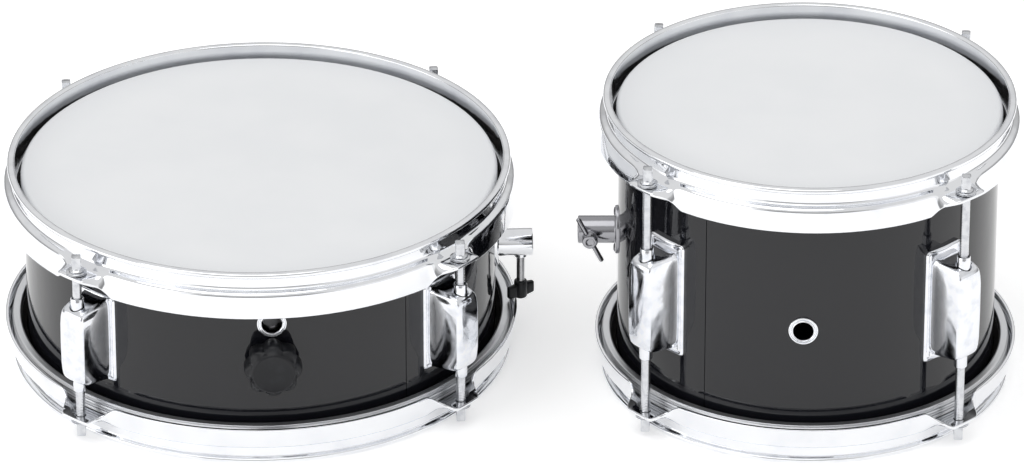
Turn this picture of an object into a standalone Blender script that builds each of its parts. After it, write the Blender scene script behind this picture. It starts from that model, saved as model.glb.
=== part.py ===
"""Junior drum pair: a shallow snare drum and a deeper small tom.

Both drums stand side by side on their bottom hoops.  Units are metres, +Z is up,
and the front of the kit faces -Y.  Angles around a drum are measured from its own
front towards its own right-hand side (+X), and every drum is modelled about its own
axis first, then turned and put in place.
"""
import math

import bmesh
import bpy
from mathutils import Matrix, Vector

MM = 0.001

# Sizes of the two drums
SNARE_RADIUS = 127.0 * MM
SNARE_DEPTH = 100.0 * MM
TOM_RADIUS = 101.6 * MM
TOM_DEPTH = 150.0 * MM
SHELL_WALL = 6.0 * MM
EDGE_IN = 1.5 * MM
EDGE_BEVEL = 3.5 * MM

# Where the drums stand
DRUM_SPACING = 294.4 * MM
SNARE_TURN = 4.5
TOM_TURN = -3.0

# Fits
GAP = 0.3 * MM
HOLE_GAP = 0.4 * MM

# Faceting of round pieces: one facet is centred on every fitting
RING_SIDES = 40
HOLE_SIDES = 12
TUBE_SIDES = 16
SMALL_SIDES = 8

# Head: film with its collar, and the ring that carries it
RIM_STAND = 6.8 * MM
FILM_THICK = 0.5 * MM
COLLAR_IN = 0.6 * MM
COLLAR_OUT = 1.3 * MM
COLLAR_DROP = 2.0 * MM
COLLAR_SHORT = 1.0 * MM
RING_IN = COLLAR_OUT + 0.4 * MM
RING_OUT = 8.2 * MM
RING_HEIGHT = 8.0 * MM

# Hoop section, as offsets outside the shell and depths below the rim
LIP_IN = 4.4 * MM
LIP_OUT = 8.4 * MM
LIP_DEPTH = 2.6 * MM
LIP_FILLET = 0.8 * MM
WALL_OUT = 6.4 * MM
WALL_FOOT = 9.4 * MM
STEP_OUT = 10.6 * MM
STEP_DEPTH = 10.8 * MM
SEAT_OUT = 9.2 * MM
SEAT_DEPTH = 14.4 * MM
SKIRT_OUT = 12.0 * MM
SKIRT_DEPTH = 22.9 * MM
SHEET = 1.8 * MM
EAR_OUT = 21.5 * MM
EAR_DEPTH = 13.2 * MM
EAR_PAD = 9.0 * MM
EAR_END = 22.0 * MM
CLEAR_OF_EAR = 2.5

# Tension rods
ROD_OUT = 16.0 * MM
ROD_RADIUS = 2.5 * MM
WASHER_RADIUS = 5.4 * MM
WASHER_THICK = 1.3 * MM
HEAD_FLARE = 0.8 * MM
HEAD_HALF = 2.5 * MM
HEAD_TALL = 8.1 * MM
HEAD_CHAMFER = 0.7 * MM

# Lugs
PLATE_HALF = 12.6 * MM
PLATE_OUT = 2.6 * MM
CASE_BASE = 9.5 * MM
CASE_FRONT = 7.2 * MM
CASE_NOSE = 4.6 * MM
CASE_OUT = 21.4 * MM
NOSE_OUT = 22.5 * MM
CASE_SLOPE = 4.5 * MM
CASE_BEND = 6.0 * MM
CASE_TRIM = 4.0 * MM
NUT_RADIUS = 3.5 * MM
NUT_BORE_DEPTH = 20.0 * MM
ROD_IN_NUT = 17.0 * MM

# Heights of the lugs of each drum: middle, and half-heights of plate, casing and nuts
SNARE_LUG_MIDDLE = 58.0 * MM
SNARE_LUG_PLATE = 25.2 * MM
SNARE_LUG_CASE = 19.2 * MM
SNARE_LUG_NUT = 27.8 * MM
TOM_LUG_MIDDLE = 80.0 * MM
TOM_LUG_PLATE = 33.0 * MM
TOM_LUG_CASE = 25.0 * MM
TOM_LUG_NUT = 33.0 * MM

# Rod brackets
BRACKET_HALF_WIDE = 9.5 * MM
BRACKET_HALF_TALL = 14.0 * MM
BRACKET_THICK = 2.2 * MM
TUBE_RADIUS = 7.5 * MM
TUBE_BORE = 5.3 * MM
SPIGOT_RADIUS = 7.0 * MM
SPIGOT_IN = 2.0 * MM
BOSS_RADIUS = 3.6 * MM
BOSS_START = 4.0 * MM
BOSS_REACH = 8.8 * MM
BITE = 1.0 * MM
SNARE_BRACKET_ANGLE = 88.3
SNARE_BRACKET_Z = 57.0 * MM
SNARE_BRACKET_REACH = 20.5 * MM
SNARE_CLAMP_OUT = 13.9 * MM
TOM_BRACKET_ANGLE = -87.0
TOM_BRACKET_Z = 82.0 * MM
TOM_BRACKET_REACH = 21.5 * MM
TOM_CLAMP_OUT = 15.0 * MM
CLAMP_RADIUS = 2.2 * MM
CLAMP_TIP = 5.0 * MM
CLAMP_SCREW_END = 31.0 * MM
WING_HUB = 3.6 * MM
WING_HUB_END = 3.1 * MM
WING_HUB_BEVEL = 1.0 * MM
WING_START = 23.6 * MM
WING_END = 33.6 * MM
WING_SPAN = 8.3 * MM
WING_MIDDLE = 29.5 * MM
WING_ROOT_TALL = 4.0 * MM
WING_TIP_TALL = 3.3 * MM
WING_ROOT = 2.0 * MM
WING_ROOT_HALF = 1.7 * MM
WING_TIP_HALF = 1.3 * MM
WING_TURN = 59.0
T_HEAD = 4.2 * MM
T_HEAD_END = 15.4 * MM
T_BAR = 1.3 * MM
T_BAR_AT = 12.2 * MM
T_BAR_END = 1.0 * MM
T_BAR_HALF = 14.5 * MM
T_BAR_TILT = 27.0

# Snare strainer inside the snare drum
KNOB_Z = 58.0 * MM
KNOB_START = 2.6 * MM
KNOB_SKIRT = 12.5 * MM
KNOB_FACE = 16.0 * MM
KNOB_LOBES = 8
KNOB_LOBE_RADIUS = 15.0 * MM
KNOB_VALLEY_RADIUS = 13.2 * MM
KNOB_FACE_RADIUS = 11.0 * MM
KNOB_EDGE = 0.8 * MM
SPINDLE_RADIUS = 3.0 * MM
SPINDLE_TIP = 3.0 * MM
SHOULDER_RADIUS = 4.6 * MM
SHOULDER_WIDE = 2.5 * MM
CAM_RADIUS = 8.0 * MM
CAM_OFFSET = 1.0 * MM
CAM_START = 18.0 * MM
CAM_END = 26.0 * MM
CAM_CLEAR = 0.7 * MM
BUSH_RADIUS = 5.0 * MM
BUSH_FLANGE = 7.0 * MM
BUSH_FLANGE_THICK = 1.5 * MM
BUSH_NUT_THICK = 3.0 * MM
STRIP_THICK = 1.5 * MM
STRIP_HALF_WIDE = 17.0 * MM
STRIP_Z = 95.0 * MM
STRIP_BEFORE_HINGE = 6.0 * MM
HINGE_Z = 80.0 * MM
HINGE_BLOCK = 4.5 * MM
HINGE_EAR_IN = 1.5 * MM
HINGE_EAR_OUT = 4.5 * MM
HINGE_EAR_FRONT = 5.0 * MM
HINGE_HALF_TALL = 9.0 * MM
HINGE_FOOT_HALF = 9.0 * MM
HINGE_FOOT_THICK = 4.5 * MM
HINGE_WEB = 2.5 * MM
HINGE_CLEAR = 4.8 * MM
PIN_RADIUS = 2.0 * MM
PIN_HEAD = 3.5 * MM
PIN_OVER = 2.0 * MM
DRILL_OVER = 8.0 * MM
FOOT_OVER_CAM = 3.0 * MM
COMB_REACH = 80.0 * MM
COMB_HALF = 1.0 * MM
COMB_FOOT_HALF = 3.0 * MM
WIRE_COUNT = 10
WIRE_RADIUS = 0.75 * MM
WIRE_PITCH = 3.2 * MM
WIRE_CLEAR = 0.35 * MM
CAM_LIFT = 2.0 * CAM_OFFSET

# Vent grommets
VENT_BORE = 5.4 * MM
VENT_BARREL = 6.2 * MM
VENT_FLANGE = 7.7 * MM
VENT_ROLL = 7.3 * MM
VENT_RIM = 1.0 * MM
VENT_LIP = 1.8 * MM
SNARE_VENT_Z = 80.2 * MM
TOM_VENT_Z = 76.0 * MM


def clear_scene():
    """Take away everything that a new scene starts with."""
    for obj in list(bpy.data.objects):
        bpy.data.objects.remove(obj, do_unlink=True)


def material(name, colour, metallic, roughness):
    """One plain surface for a group of pieces."""
    mat = bpy.data.materials.new(name)
    mat.use_nodes = True
    shader = mat.node_tree.nodes["Principled BSDF"]
    shader.inputs["Base Color"].default_value = (*colour, 1.0)
    shader.inputs["Metallic"].default_value = metallic
    shader.inputs["Roughness"].default_value = roughness
    mat.diffuse_color = (*colour, 1.0)
    return mat


def piece(name, bm, look, place=None, origin=None):
    """Turn a bmesh into a named object.

    The mesh is given in the frame of its drum.  `place` puts it in the room and
    `origin` (in the frame of the drum) becomes the object's own origin.
    """
    bmesh.ops.recalc_face_normals(bm, faces=bm.faces)
    place = place or Matrix.Identity(4)
    bm.transform(place)
    centre = Vector((0.0, 0.0, 0.0))
    if origin is not None:
        centre = place @ Vector(origin)
        bm.transform(Matrix.Translation(-centre))
    mesh = bpy.data.meshes.new(name)
    bm.to_mesh(mesh)
    bm.free()
    mesh.materials.append(look)
    obj = bpy.data.objects.new(name, mesh)
    obj.location = centre
    bpy.context.collection.objects.link(obj)
    return obj


def smooth(obj, angle=35.0):
    """Shade round faces smooth and keep the real edges sharp."""
    mesh = obj.data
    mesh.shade_smooth()
    mesh.set_sharp_from_angle(angle=math.radians(angle))


def combine(obj, tool_bm, operation, place=None):
    """Join a second closed form to a piece, or cut it out of the piece."""
    bmesh.ops.recalc_face_normals(tool_bm, faces=tool_bm.faces)
    tool_bm.transform(place or Matrix.Identity(4))
    mesh = bpy.data.meshes.new("tool")
    tool_bm.to_mesh(mesh)
    tool_bm.free()
    tool = bpy.data.objects.new("tool", mesh)
    tool.hide_render = True
    tool.display_type = "WIRE"
    bpy.context.collection.objects.link(tool)
    step = obj.modifiers.new("step", "BOOLEAN")
    step.operation = operation
    step.solver = "EXACT"
    step.object = tool
    bpy.context.view_layer.update()
    graph = bpy.context.evaluated_depsgraph_get()
    result = bpy.data.meshes.new_from_object(obj.evaluated_get(graph))
    obj.modifiers.clear()
    old = obj.data
    name = old.name
    obj.data = result
    bpy.data.meshes.remove(old)
    result.name = name
    bpy.data.objects.remove(tool, do_unlink=True)
    bpy.data.meshes.remove(mesh)


def loft(rings):
    """Closed form through a stack of rings that all have the same point count."""
    bm = bmesh.new()
    rows = [[bm.verts.new(p) for p in ring] for ring in rings]
    count = len(rings[0])
    for low, high in zip(rows, rows[1:]):
        for i in range(count):
            j = (i + 1) % count
            bm.faces.new((low[i], low[j], high[j], high[i]))
    bm.faces.new(list(reversed(rows[0])))
    bm.faces.new(rows[-1])
    return bm


def band(sections):
    """Closed ring through sections that stand one after the other around an axis."""
    bm = bmesh.new()
    rows = [[bm.verts.new(p) for p in section] for section in sections]
    count = len(sections[0])
    total = len(rows)
    for k in range(total):
        here = rows[k]
        after = rows[(k + 1) % total]
        for i in range(count):
            j = (i + 1) % count
            bm.faces.new((here[i], here[j], after[j], after[i]))
    return bm


def around(angle, out, z):
    """Point at an angle from the front of the drum, `out` from its axis, at height z."""
    a = math.radians(angle)
    return (out * math.sin(a), -out * math.cos(a), z)


def facing(angle, z=0.0):
    """Frame of a fitting: its own +Z points out of the drum, +X runs along the
    shell and +Y points up; its origin lies on the drum's axis at height z."""
    a = math.radians(angle)
    along = Vector((math.cos(a), math.sin(a), 0.0))
    up = Vector((0.0, 0.0, 1.0))
    out = Vector((math.sin(a), -math.cos(a), 0.0))
    frame = Matrix((along, up, out)).transposed().to_4x4()
    frame.translation = Vector((0.0, 0.0, z))
    return frame


def ring_angles():
    """Corner angles of the round pieces; fittings fall on the middle of a facet."""
    step = 360.0 / RING_SIDES
    return [(k + 0.5) * step for k in range(RING_SIDES)]


def lathe_band(profile):
    """Ring with the closed profile [(radius, z), ...]."""
    return band([[around(a, r, z) for r, z in profile] for a in ring_angles()])


def small_band(profile):
    """Small ring about its own Z with the closed profile [(radius, z), ...]."""
    sections = []
    for k in range(HOLE_SIDES):
        a = 2.0 * math.pi * (k + 0.5) / HOLE_SIDES
        sections.append([(r * math.cos(a), r * math.sin(a), z) for r, z in profile])
    return band(sections)


def lathe_solid(profile, sides, centre=(0.0, 0.0)):
    """Solid of revolution about Z through the rings [(radius, z), ...]."""
    rings = []
    for radius, z in profile:
        ring = []
        for k in range(sides):
            a = 2.0 * math.pi * (k + 0.5) / sides
            ring.append((centre[0] + radius * math.cos(a), centre[1] + radius * math.sin(a), z))
        rings.append(ring)
    return loft(rings)


def facet_drop(radius):
    """How far the middle of a facet lies inside the corners of a round piece."""
    return radius * (1.0 - math.cos(math.pi / RING_SIDES))


class Drum:
    """Everything that depends on the size of one drum and on where it stands."""

    def __init__(self, name, radius, depth, turn, x, y, lug_middle, lug_plate, lug_case, lug_nut):
        self.name = name
        self.radius = radius
        self.height = depth + 2.0 * RIM_STAND
        self.turn = turn
        self.place = Matrix.Translation((x, y, 0.0)) @ Matrix.Rotation(math.radians(turn), 4, "Z")
        self.lug_middle = lug_middle
        self.lug_plate = lug_plate
        self.lug_case = lug_case
        self.lug_nut = lug_nut
        self.outer_flat = radius - facet_drop(radius)
        inner = radius - SHELL_WALL
        self.inner_flat = inner - facet_drop(inner)
        self.rod_angles = (-45.0, 45.0, 135.0, -135.0)


def flip(profile, height):
    """The same profile for the lower end of a drum."""
    return [(r, height - z) for r, z in profile]


def make_shell(drum, look):
    """Wooden shell with a bearing edge at both ends: the peak lies a little inside
    the outer face, with a small outer chamfer and a long inner slope."""
    low = RIM_STAND
    high = drum.height - RIM_STAND
    out = drum.radius
    peak = out - EDGE_IN
    inner = out - SHELL_WALL
    profile = [
        (out, low + EDGE_IN),
        (out, high - EDGE_IN),
        (peak, high),
        (inner, high - EDGE_BEVEL),
        (inner, low + EDGE_BEVEL),
        (peak, low),
    ]
    return piece(drum.name + "_shell", lathe_band(profile), look, drum.place)


def cut_round(obj, drum, angle, z, radius):
    """Round hole through the wall of the shell."""
    reach = (drum.inner_flat - 10.0 * MM, drum.radius + 10.0 * MM)
    tool = lathe_solid([(radius, reach[0]), (radius, reach[1])], HOLE_SIDES)
    combine(obj, tool, "DIFFERENCE", drum.place @ facing(angle, z))


def make_film(drum, look, upper):
    """Head film: a flat sheet that bends over the bearing edge and runs down outside
    the shell as a collar, whose end is held inside the carrying ring."""
    top = drum.height - RIM_STAND + GAP
    crown = drum.radius - EDGE_IN
    end = drum.height - SEAT_DEPTH - GAP - RING_HEIGHT + COLLAR_SHORT
    bend = top - COLLAR_DROP
    outer = [
        (crown, top + FILM_THICK),
        (drum.radius + COLLAR_OUT, bend),
        (drum.radius + COLLAR_OUT, end),
        (drum.radius + COLLAR_IN, end),
        (drum.radius + COLLAR_IN, bend - GAP),
        (crown, top),
    ]
    if not upper:
        outer = flip(outer, drum.height)
    rings = [[around(a, r, z) for a in ring_angles()] for r, z in outer]
    side = "batter" if upper else "bottom"
    film = piece(drum.name + "_" + side + "_film", loft(rings), look, drum.place)
    smooth(film)


def make_ring(drum, look, upper):
    """Metal ring that carries the film and is pushed down by the hoop."""
    top = drum.height - SEAT_DEPTH - GAP
    low = top - RING_HEIGHT
    profile = [
        (drum.radius + RING_IN, top),
        (drum.radius + RING_OUT, top),
        (drum.radius + RING_OUT, low),
        (drum.radius + RING_IN, low),
    ]
    if not upper:
        profile = flip(profile, drum.height)
    side = "batter" if upper else "bottom"
    ring = piece(drum.name + "_" + side + "_ring", lathe_band(profile), look, drum.place)
    smooth(ring)


def hoop_section(drum, ear):
    """Section of the stamped hoop.

    `ear` runs from 0 on the plain skirt to 1 on the pad of an ear.  The skirt swings
    outward and upward about the edge of the step, as the sheet does under the press,
    until it lies flat and carries the rod.
    """
    step_depth = STEP_DEPTH + (EAR_DEPTH - STEP_DEPTH) * ear
    plain_angle = math.atan2(SKIRT_DEPTH - STEP_DEPTH, SKIRT_OUT - STEP_OUT)
    plain_length = math.hypot(SKIRT_DEPTH - STEP_DEPTH, SKIRT_OUT - STEP_OUT)
    ear_length = EAR_OUT - STEP_OUT
    angle = plain_angle * (1.0 - ear)
    length = plain_length + (ear_length - plain_length) * ear
    skirt_out = STEP_OUT + length * math.cos(angle)
    skirt_depth = step_depth + length * math.sin(angle)
    inner_out = skirt_out - SHEET * math.sin(angle)
    inner_depth = skirt_depth + SHEET * math.cos(angle)
    offsets = [
        (LIP_IN, 0.0),
        (LIP_OUT, 0.0),
        (LIP_OUT, LIP_DEPTH),
        (WALL_OUT, LIP_DEPTH + LIP_FILLET),
        (WALL_OUT, WALL_FOOT),
        (STEP_OUT, step_depth),
        (skirt_out, skirt_depth),
        (inner_out, inner_depth),
        (SEAT_OUT, SEAT_DEPTH),
        (LIP_IN, SEAT_DEPTH),
    ]
    return [(drum.radius + o, drum.height - d) for o, d in offsets]


def hoop_stations(drum):
    """Angles around the hoop with the share of the ear at each of them."""
    rod_radius = drum.radius + ROD_OUT
    pad = math.degrees(EAR_PAD / rod_radius)
    end = math.degrees(EAR_END / rod_radius)
    middle = 0.5 * (pad + end)
    stations = []
    for centre in drum.rod_angles:
        for shift, ear in ((-end, 0.0), (-middle, 0.5), (-pad, 1.0), (pad, 1.0), (middle, 0.5), (end, 0.0)):
            stations.append(((centre + shift) % 360.0, ear))
    for angle in ring_angles():
        away = min(abs((angle - c + 180.0) % 360.0 - 180.0) for c in drum.rod_angles)
        if away > end + CLEAR_OF_EAR:
            stations.append((angle % 360.0, 0.0))
    return sorted(stations)


def make_hoop(drum, look, upper):
    """Pressed steel hoop: rolled rim, upright wall, step on the carrying ring and a
    skirt that opens into four flat ears for the tension rods."""
    sections = []
    for angle, ear in hoop_stations(drum):
        profile = hoop_section(drum, ear)
        if not upper:
            profile = flip(profile, drum.height)
        sections.append([around(angle, r, z) for r, z in profile])
    side = "top" if upper else "bottom"
    hoop = piece(drum.name + "_" + side + "_hoop", band(sections), look, drum.place)
    depth = EAR_DEPTH + 0.5 * SHEET
    z = drum.height - depth if upper else depth
    for angle in drum.rod_angles:
        hole = lathe_solid(
            [(ROD_RADIUS + HOLE_GAP, z - 4.0 * MM), (ROD_RADIUS + HOLE_GAP, z + 4.0 * MM)],
            SMALL_SIDES,
            around(angle, drum.radius + ROD_OUT, 0.0)[:2],
        )
        combine(hoop, hole, "DIFFERENCE", drum.place)
    smooth(hoop, 30.0)


def rod_rings(length):
    """Rings of a tension rod that hangs down from z = 0, where its washer rests."""
    def circle(radius, z):
        points = []
        for k in range(SMALL_SIDES):
            a = 2.0 * math.pi * (k + 0.5) / SMALL_SIDES
            points.append((radius * math.cos(a), radius * math.sin(a), z))
        return points

    def square(half, z):
        inner = half - HEAD_CHAMFER
        corners = [
            (half, inner), (inner, half), (-inner, half), (-half, inner),
            (-half, -inner), (-inner, -half), (inner, -half), (half, -inner),
        ]
        return [(x, y, z) for x, y in corners]

    washer_top = GAP + WASHER_THICK
    return [
        circle(ROD_RADIUS, -length),
        circle(ROD_RADIUS, GAP),
        circle(WASHER_RADIUS, GAP),
        circle(WASHER_RADIUS, washer_top),
        square(HEAD_HALF, washer_top + HEAD_FLARE),
        square(HEAD_HALF, washer_top + HEAD_FLARE + HEAD_TALL),
    ]


def make_rods(drum, look):
    """Eight tension rods: four from above and four from below, with washer and
    square head, screwed into the swivel nuts of the lugs."""
    for number, angle in enumerate(drum.rod_angles, 1):
        for upper in (True, False):
            nut_end = drum.lug_middle + (drum.lug_nut if upper else -drum.lug_nut)
            seat = drum.height - EAR_DEPTH if upper else EAR_DEPTH
            length = abs(seat - nut_end) + ROD_IN_NUT
            bm = loft(rod_rings(length))
            if not upper:
                bm.transform(Matrix.Rotation(math.pi, 4, "X"))
            origin = around(angle, drum.radius + ROD_OUT, seat)
            bm.transform(Matrix.Translation(origin))
            side = "top" if upper else "bottom"
            name = drum.name + "_" + side + "_rod_" + str(number)
            rod = piece(name, bm, look, drum.place, origin)
            smooth(rod)


def make_lugs(drum, look):
    """Die-cast lugs: a flat foot plate, a narrower casing with a ridged nose, and at
    both ends the neck of the swivel nut that takes the tension rod."""
    back = drum.outer_flat + GAP
    face = drum.radius + PLATE_OUT
    outline = [
        (-PLATE_HALF, back, back),
        (PLATE_HALF, back, back),
        (PLATE_HALF, face, face),
        (CASE_BASE, face, face),
        (CASE_FRONT, face, drum.radius + CASE_OUT),
        (CASE_NOSE, face, drum.radius + NOSE_OUT),
        (-CASE_NOSE, face, drum.radius + NOSE_OUT),
        (-CASE_FRONT, face, drum.radius + CASE_OUT),
        (-CASE_BASE, face, face),
        (-PLATE_HALF, face, face),
    ]

    def level(y, case, trim=0.0):
        points = []
        for x, flat, full in outline:
            out = full if case else flat
            if case and full > face:
                out = full - trim
            points.append((x, y, out))
        return points

    plate = drum.lug_plate
    nose = drum.lug_case
    base = nose + CASE_SLOPE
    bend = nose - CASE_BEND
    for number, angle in enumerate(drum.rod_angles, 1):
        frame = drum.place @ facing(angle, drum.lug_middle)
        rings = [
            level(-plate, False),
            level(-base, False),
            level(-nose, True, CASE_TRIM),
            level(-bend, True),
            level(bend, True),
            level(nose, True, CASE_TRIM),
            level(base, False),
            level(plate, False),
        ]
        name = drum.name + "_lug_" + str(number)
        lug = piece(name, loft(rings), look, frame)
        rod_out = drum.radius + ROD_OUT
        for side in (-1.0, 1.0):
            turned = (
                frame
                @ Matrix.Translation((0.0, 0.0, rod_out))
                @ Matrix.Rotation(-side * math.pi / 2.0, 4, "X")
            )
            neck = lathe_solid(
                [(NUT_RADIUS, nose - 3.0 * MM), (NUT_RADIUS, drum.lug_nut)], SMALL_SIDES
            )
            combine(lug, neck, "UNION", turned)
            bore = lathe_solid(
                [
                    (ROD_RADIUS + HOLE_GAP, drum.lug_nut - NUT_BORE_DEPTH),
                    (ROD_RADIUS + HOLE_GAP, drum.lug_nut + 2.0 * MM),
                ],
                SMALL_SIDES,
            )
            combine(lug, bore, "DIFFERENCE", turned)
        smooth(lug, 25.0)


def make_grommet(drum, look, shell, z):
    """Air vent: a flanged eyelet rolled over on the inside of the shell."""
    out = drum.outer_flat
    inner = drum.inner_flat
    profile = [
        (VENT_BORE, out + VENT_LIP),
        (VENT_FLANGE, out + VENT_RIM),
        (VENT_FLANGE, out + GAP),
        (VENT_BARREL, out + GAP),
        (VENT_BARREL, inner - GAP),
        (VENT_ROLL, inner - GAP),
        (VENT_ROLL, inner - VENT_RIM),
        (VENT_BORE, inner - VENT_RIM),
    ]
    grommet = piece(drum.name + "_vent_grommet", small_band(profile), look, drum.place @ facing(0.0, z))
    smooth(grommet)
    cut_round(shell, drum, 0.0, z, VENT_BARREL + HOLE_GAP)


def make_bracket(drum, look, shell, angle, z, reach, screw_turn, screw_out):
    """Rod bracket: oval plate on the shell, round socket for the holding rod that also
    passes the shell wall, and a boss for the clamp screw on one side."""
    frame = drum.place @ facing(angle, z)
    back = drum.radius + GAP
    face = drum.radius + BRACKET_THICK
    outline = []
    for k in range(TUBE_SIDES):
        a = 2.0 * math.pi * k / TUBE_SIDES
        outline.append((BRACKET_HALF_WIDE * math.cos(a), BRACKET_HALF_TALL * math.sin(a)))
    bm = loft([[(x, y, out) for x, y in outline] for out in (back, face)])
    bracket = piece(drum.name + "_rod_bracket", bm, look, frame)
    end = drum.radius + reach
    tube = lathe_solid([(TUBE_RADIUS, face - BITE), (TUBE_RADIUS, end)], TUBE_SIDES)
    combine(bracket, tube, "UNION", frame)
    inside = drum.inner_flat - SPIGOT_IN
    spigot = lathe_solid([(SPIGOT_RADIUS, inside), (SPIGOT_RADIUS, face - BITE)], HOLE_SIDES)
    combine(bracket, spigot, "UNION", frame)
    screw_frame = frame @ Matrix.Translation((0.0, 0.0, drum.radius + screw_out)) @ screw_turn
    boss = lathe_solid([(BOSS_RADIUS, BOSS_START), (BOSS_RADIUS, BOSS_REACH)], HOLE_SIDES)
    combine(bracket, boss, "UNION", screw_frame)
    socket = lathe_solid([(TUBE_BORE, inside - 2.0 * MM), (TUBE_BORE, end + 2.0 * MM)], HOLE_SIDES)
    combine(bracket, socket, "DIFFERENCE", frame)
    tap = lathe_solid(
        [(CLAMP_RADIUS + HOLE_GAP, BITE), (CLAMP_RADIUS + HOLE_GAP, BOSS_REACH + 2.0 * MM)],
        SMALL_SIDES,
    )
    combine(bracket, tap, "DIFFERENCE", screw_frame)
    cut_round(shell, drum, angle, z, SPIGOT_RADIUS + HOLE_GAP)
    smooth(bracket)
    return screw_frame


def make_snare_clamp(drum, steel, plastic, frame):
    """Clamp screw of the snare bracket and its wing knob, which turn together."""
    profile = [(CLAMP_RADIUS, CLAMP_TIP), (CLAMP_RADIUS, CLAMP_SCREW_END)]
    screw = piece("snare_clamp_screw", lathe_solid(profile, SMALL_SIDES), steel, frame, (0.0, 0.0, 0.0))
    smooth(screw)
    profile = [
        (WING_HUB_END, WING_START),
        (WING_HUB, WING_START + WING_HUB_BEVEL),
        (WING_HUB, WING_END - WING_HUB_BEVEL),
        (WING_HUB_END, WING_END),
    ]
    knob = piece("snare_clamp_knob", lathe_solid(profile, HOLE_SIDES), plastic, frame, (0.0, 0.0, 0.0))
    turned = frame @ Matrix.Rotation(math.radians(WING_TURN), 4, "Z")
    for side in (-1.0, 1.0):
        rings = []
        for x, half, tall in (
            (side * WING_ROOT, WING_ROOT_HALF, WING_ROOT_TALL),
            (side * WING_SPAN, WING_TIP_HALF, WING_TIP_TALL),
        ):
            low = WING_MIDDLE - tall
            high = WING_MIDDLE + tall
            rings.append([(x, -half, low), (x, half, low), (x, half, high), (x, -half, high)])
        wing = loft(rings)
        combine(knob, wing, "UNION", turned)
    socket = lathe_solid(
        [(CLAMP_RADIUS + GAP, WING_START - 2.0 * MM), (CLAMP_RADIUS + GAP, CLAMP_SCREW_END + GAP)],
        SMALL_SIDES,
    )
    combine(knob, socket, "DIFFERENCE", frame)
    smooth(knob)


def make_tom_clamp(steel, frame):
    """Clamp screw of the tom bracket: a short screw with a drum-shaped head and a
    cross bar pushed through the head."""
    profile = [
        (CLAMP_RADIUS, CLAMP_TIP),
        (CLAMP_RADIUS, BOSS_REACH + GAP),
        (T_HEAD, BOSS_REACH + GAP),
        (T_HEAD, T_HEAD_END),
    ]
    screw = piece("tom_clamp_screw", lathe_solid(profile, HOLE_SIDES), steel, frame, (0.0, 0.0, 0.0))
    across = (
        frame
        @ Matrix.Translation((0.0, 0.0, T_BAR_AT))
        @ Matrix.Rotation(math.radians(T_BAR_TILT), 4, "Z")
        @ Matrix.Rotation(math.pi / 2.0, 4, "X")
    )
    hole = lathe_solid([(T_BAR + GAP, -10.0 * MM), (T_BAR + GAP, 10.0 * MM)], SMALL_SIDES)
    combine(screw, hole, "DIFFERENCE", across)
    smooth(screw)
    half = T_BAR_HALF
    profile = [
        (T_BAR_END, -half), (T_BAR, -half + 1.0 * MM), (T_BAR, half - 1.0 * MM), (T_BAR_END, half),
    ]
    bm = lathe_solid(profile, SMALL_SIDES)
    bm.transform(frame.inverted() @ across)
    bar = piece("tom_clamp_bar", bm, steel, frame, (0.0, 0.0, 0.0))
    smooth(bar)


def make_knob(drum, plastic, steel):
    """Lobed strainer knob outside the shell and the spindle with its cam inside."""
    frame = drum.place @ facing(0.0, KNOB_Z)
    origin = (0.0, 0.0, drum.radius)
    count = KNOB_LOBES * 4

    def lobed(outer, valley, out):
        points = []
        for k in range(count):
            a = 2.0 * math.pi * k / count
            wave = 0.5 + 0.5 * math.cos(KNOB_LOBES * a)
            r = valley + (outer - valley) * wave
            points.append((r * math.cos(a), r * math.sin(a), drum.radius + out))
        return points

    bm = loft([
        lobed(KNOB_LOBE_RADIUS - KNOB_EDGE, KNOB_VALLEY_RADIUS - KNOB_EDGE, KNOB_START),
        lobed(KNOB_LOBE_RADIUS, KNOB_VALLEY_RADIUS, KNOB_START + KNOB_EDGE),
        lobed(KNOB_LOBE_RADIUS - KNOB_EDGE, KNOB_VALLEY_RADIUS - KNOB_EDGE, KNOB_SKIRT),
        lobed(KNOB_FACE_RADIUS, KNOB_FACE_RADIUS, KNOB_FACE),
    ])
    knob = piece("snare_knob", bm, plastic, frame, origin)
    socket_end = drum.radius + KNOB_SKIRT
    socket = lathe_solid(
        [(SPINDLE_RADIUS + GAP, drum.radius), (SPINDLE_RADIUS + GAP, socket_end)], HOLE_SIDES
    )
    combine(knob, socket, "DIFFERENCE", frame)
    smooth(knob, 40.0)

    bush_end = drum.inner_flat - GAP - BUSH_NUT_THICK
    shoulder = bush_end - GAP
    profile = [
        (SPINDLE_RADIUS, drum.radius - CAM_END - SPINDLE_TIP),
        (SPINDLE_RADIUS, shoulder - SHOULDER_WIDE),
        (SHOULDER_RADIUS, shoulder - SHOULDER_WIDE),
        (SHOULDER_RADIUS, shoulder),
        (SPINDLE_RADIUS, shoulder),
        (SPINDLE_RADIUS, socket_end - GAP),
    ]
    spindle = piece("snare_spindle", lathe_solid(profile, HOLE_SIDES), steel, frame, origin)
    cam = lathe_solid(
        [(CAM_RADIUS, drum.radius - CAM_END), (CAM_RADIUS, drum.radius - CAM_START)],
        TUBE_SIDES,
        (0.0, -CAM_OFFSET),
    )
    combine(spindle, cam, "UNION", frame)
    smooth(spindle)

    profile = [
        (BUSH_FLANGE, drum.outer_flat + GAP + BUSH_FLANGE_THICK),
        (BUSH_FLANGE, drum.outer_flat + GAP),
        (BUSH_RADIUS, drum.outer_flat + GAP),
        (BUSH_RADIUS, drum.inner_flat - GAP),
        (BUSH_FLANGE, drum.inner_flat - GAP),
        (BUSH_FLANGE, bush_end),
        (SPINDLE_RADIUS + GAP, bush_end),
        (SPINDLE_RADIUS + GAP, drum.outer_flat + GAP + BUSH_FLANGE_THICK),
    ]
    bush = piece("snare_knob_bush", small_band(profile), steel, frame)
    smooth(bush)


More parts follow.
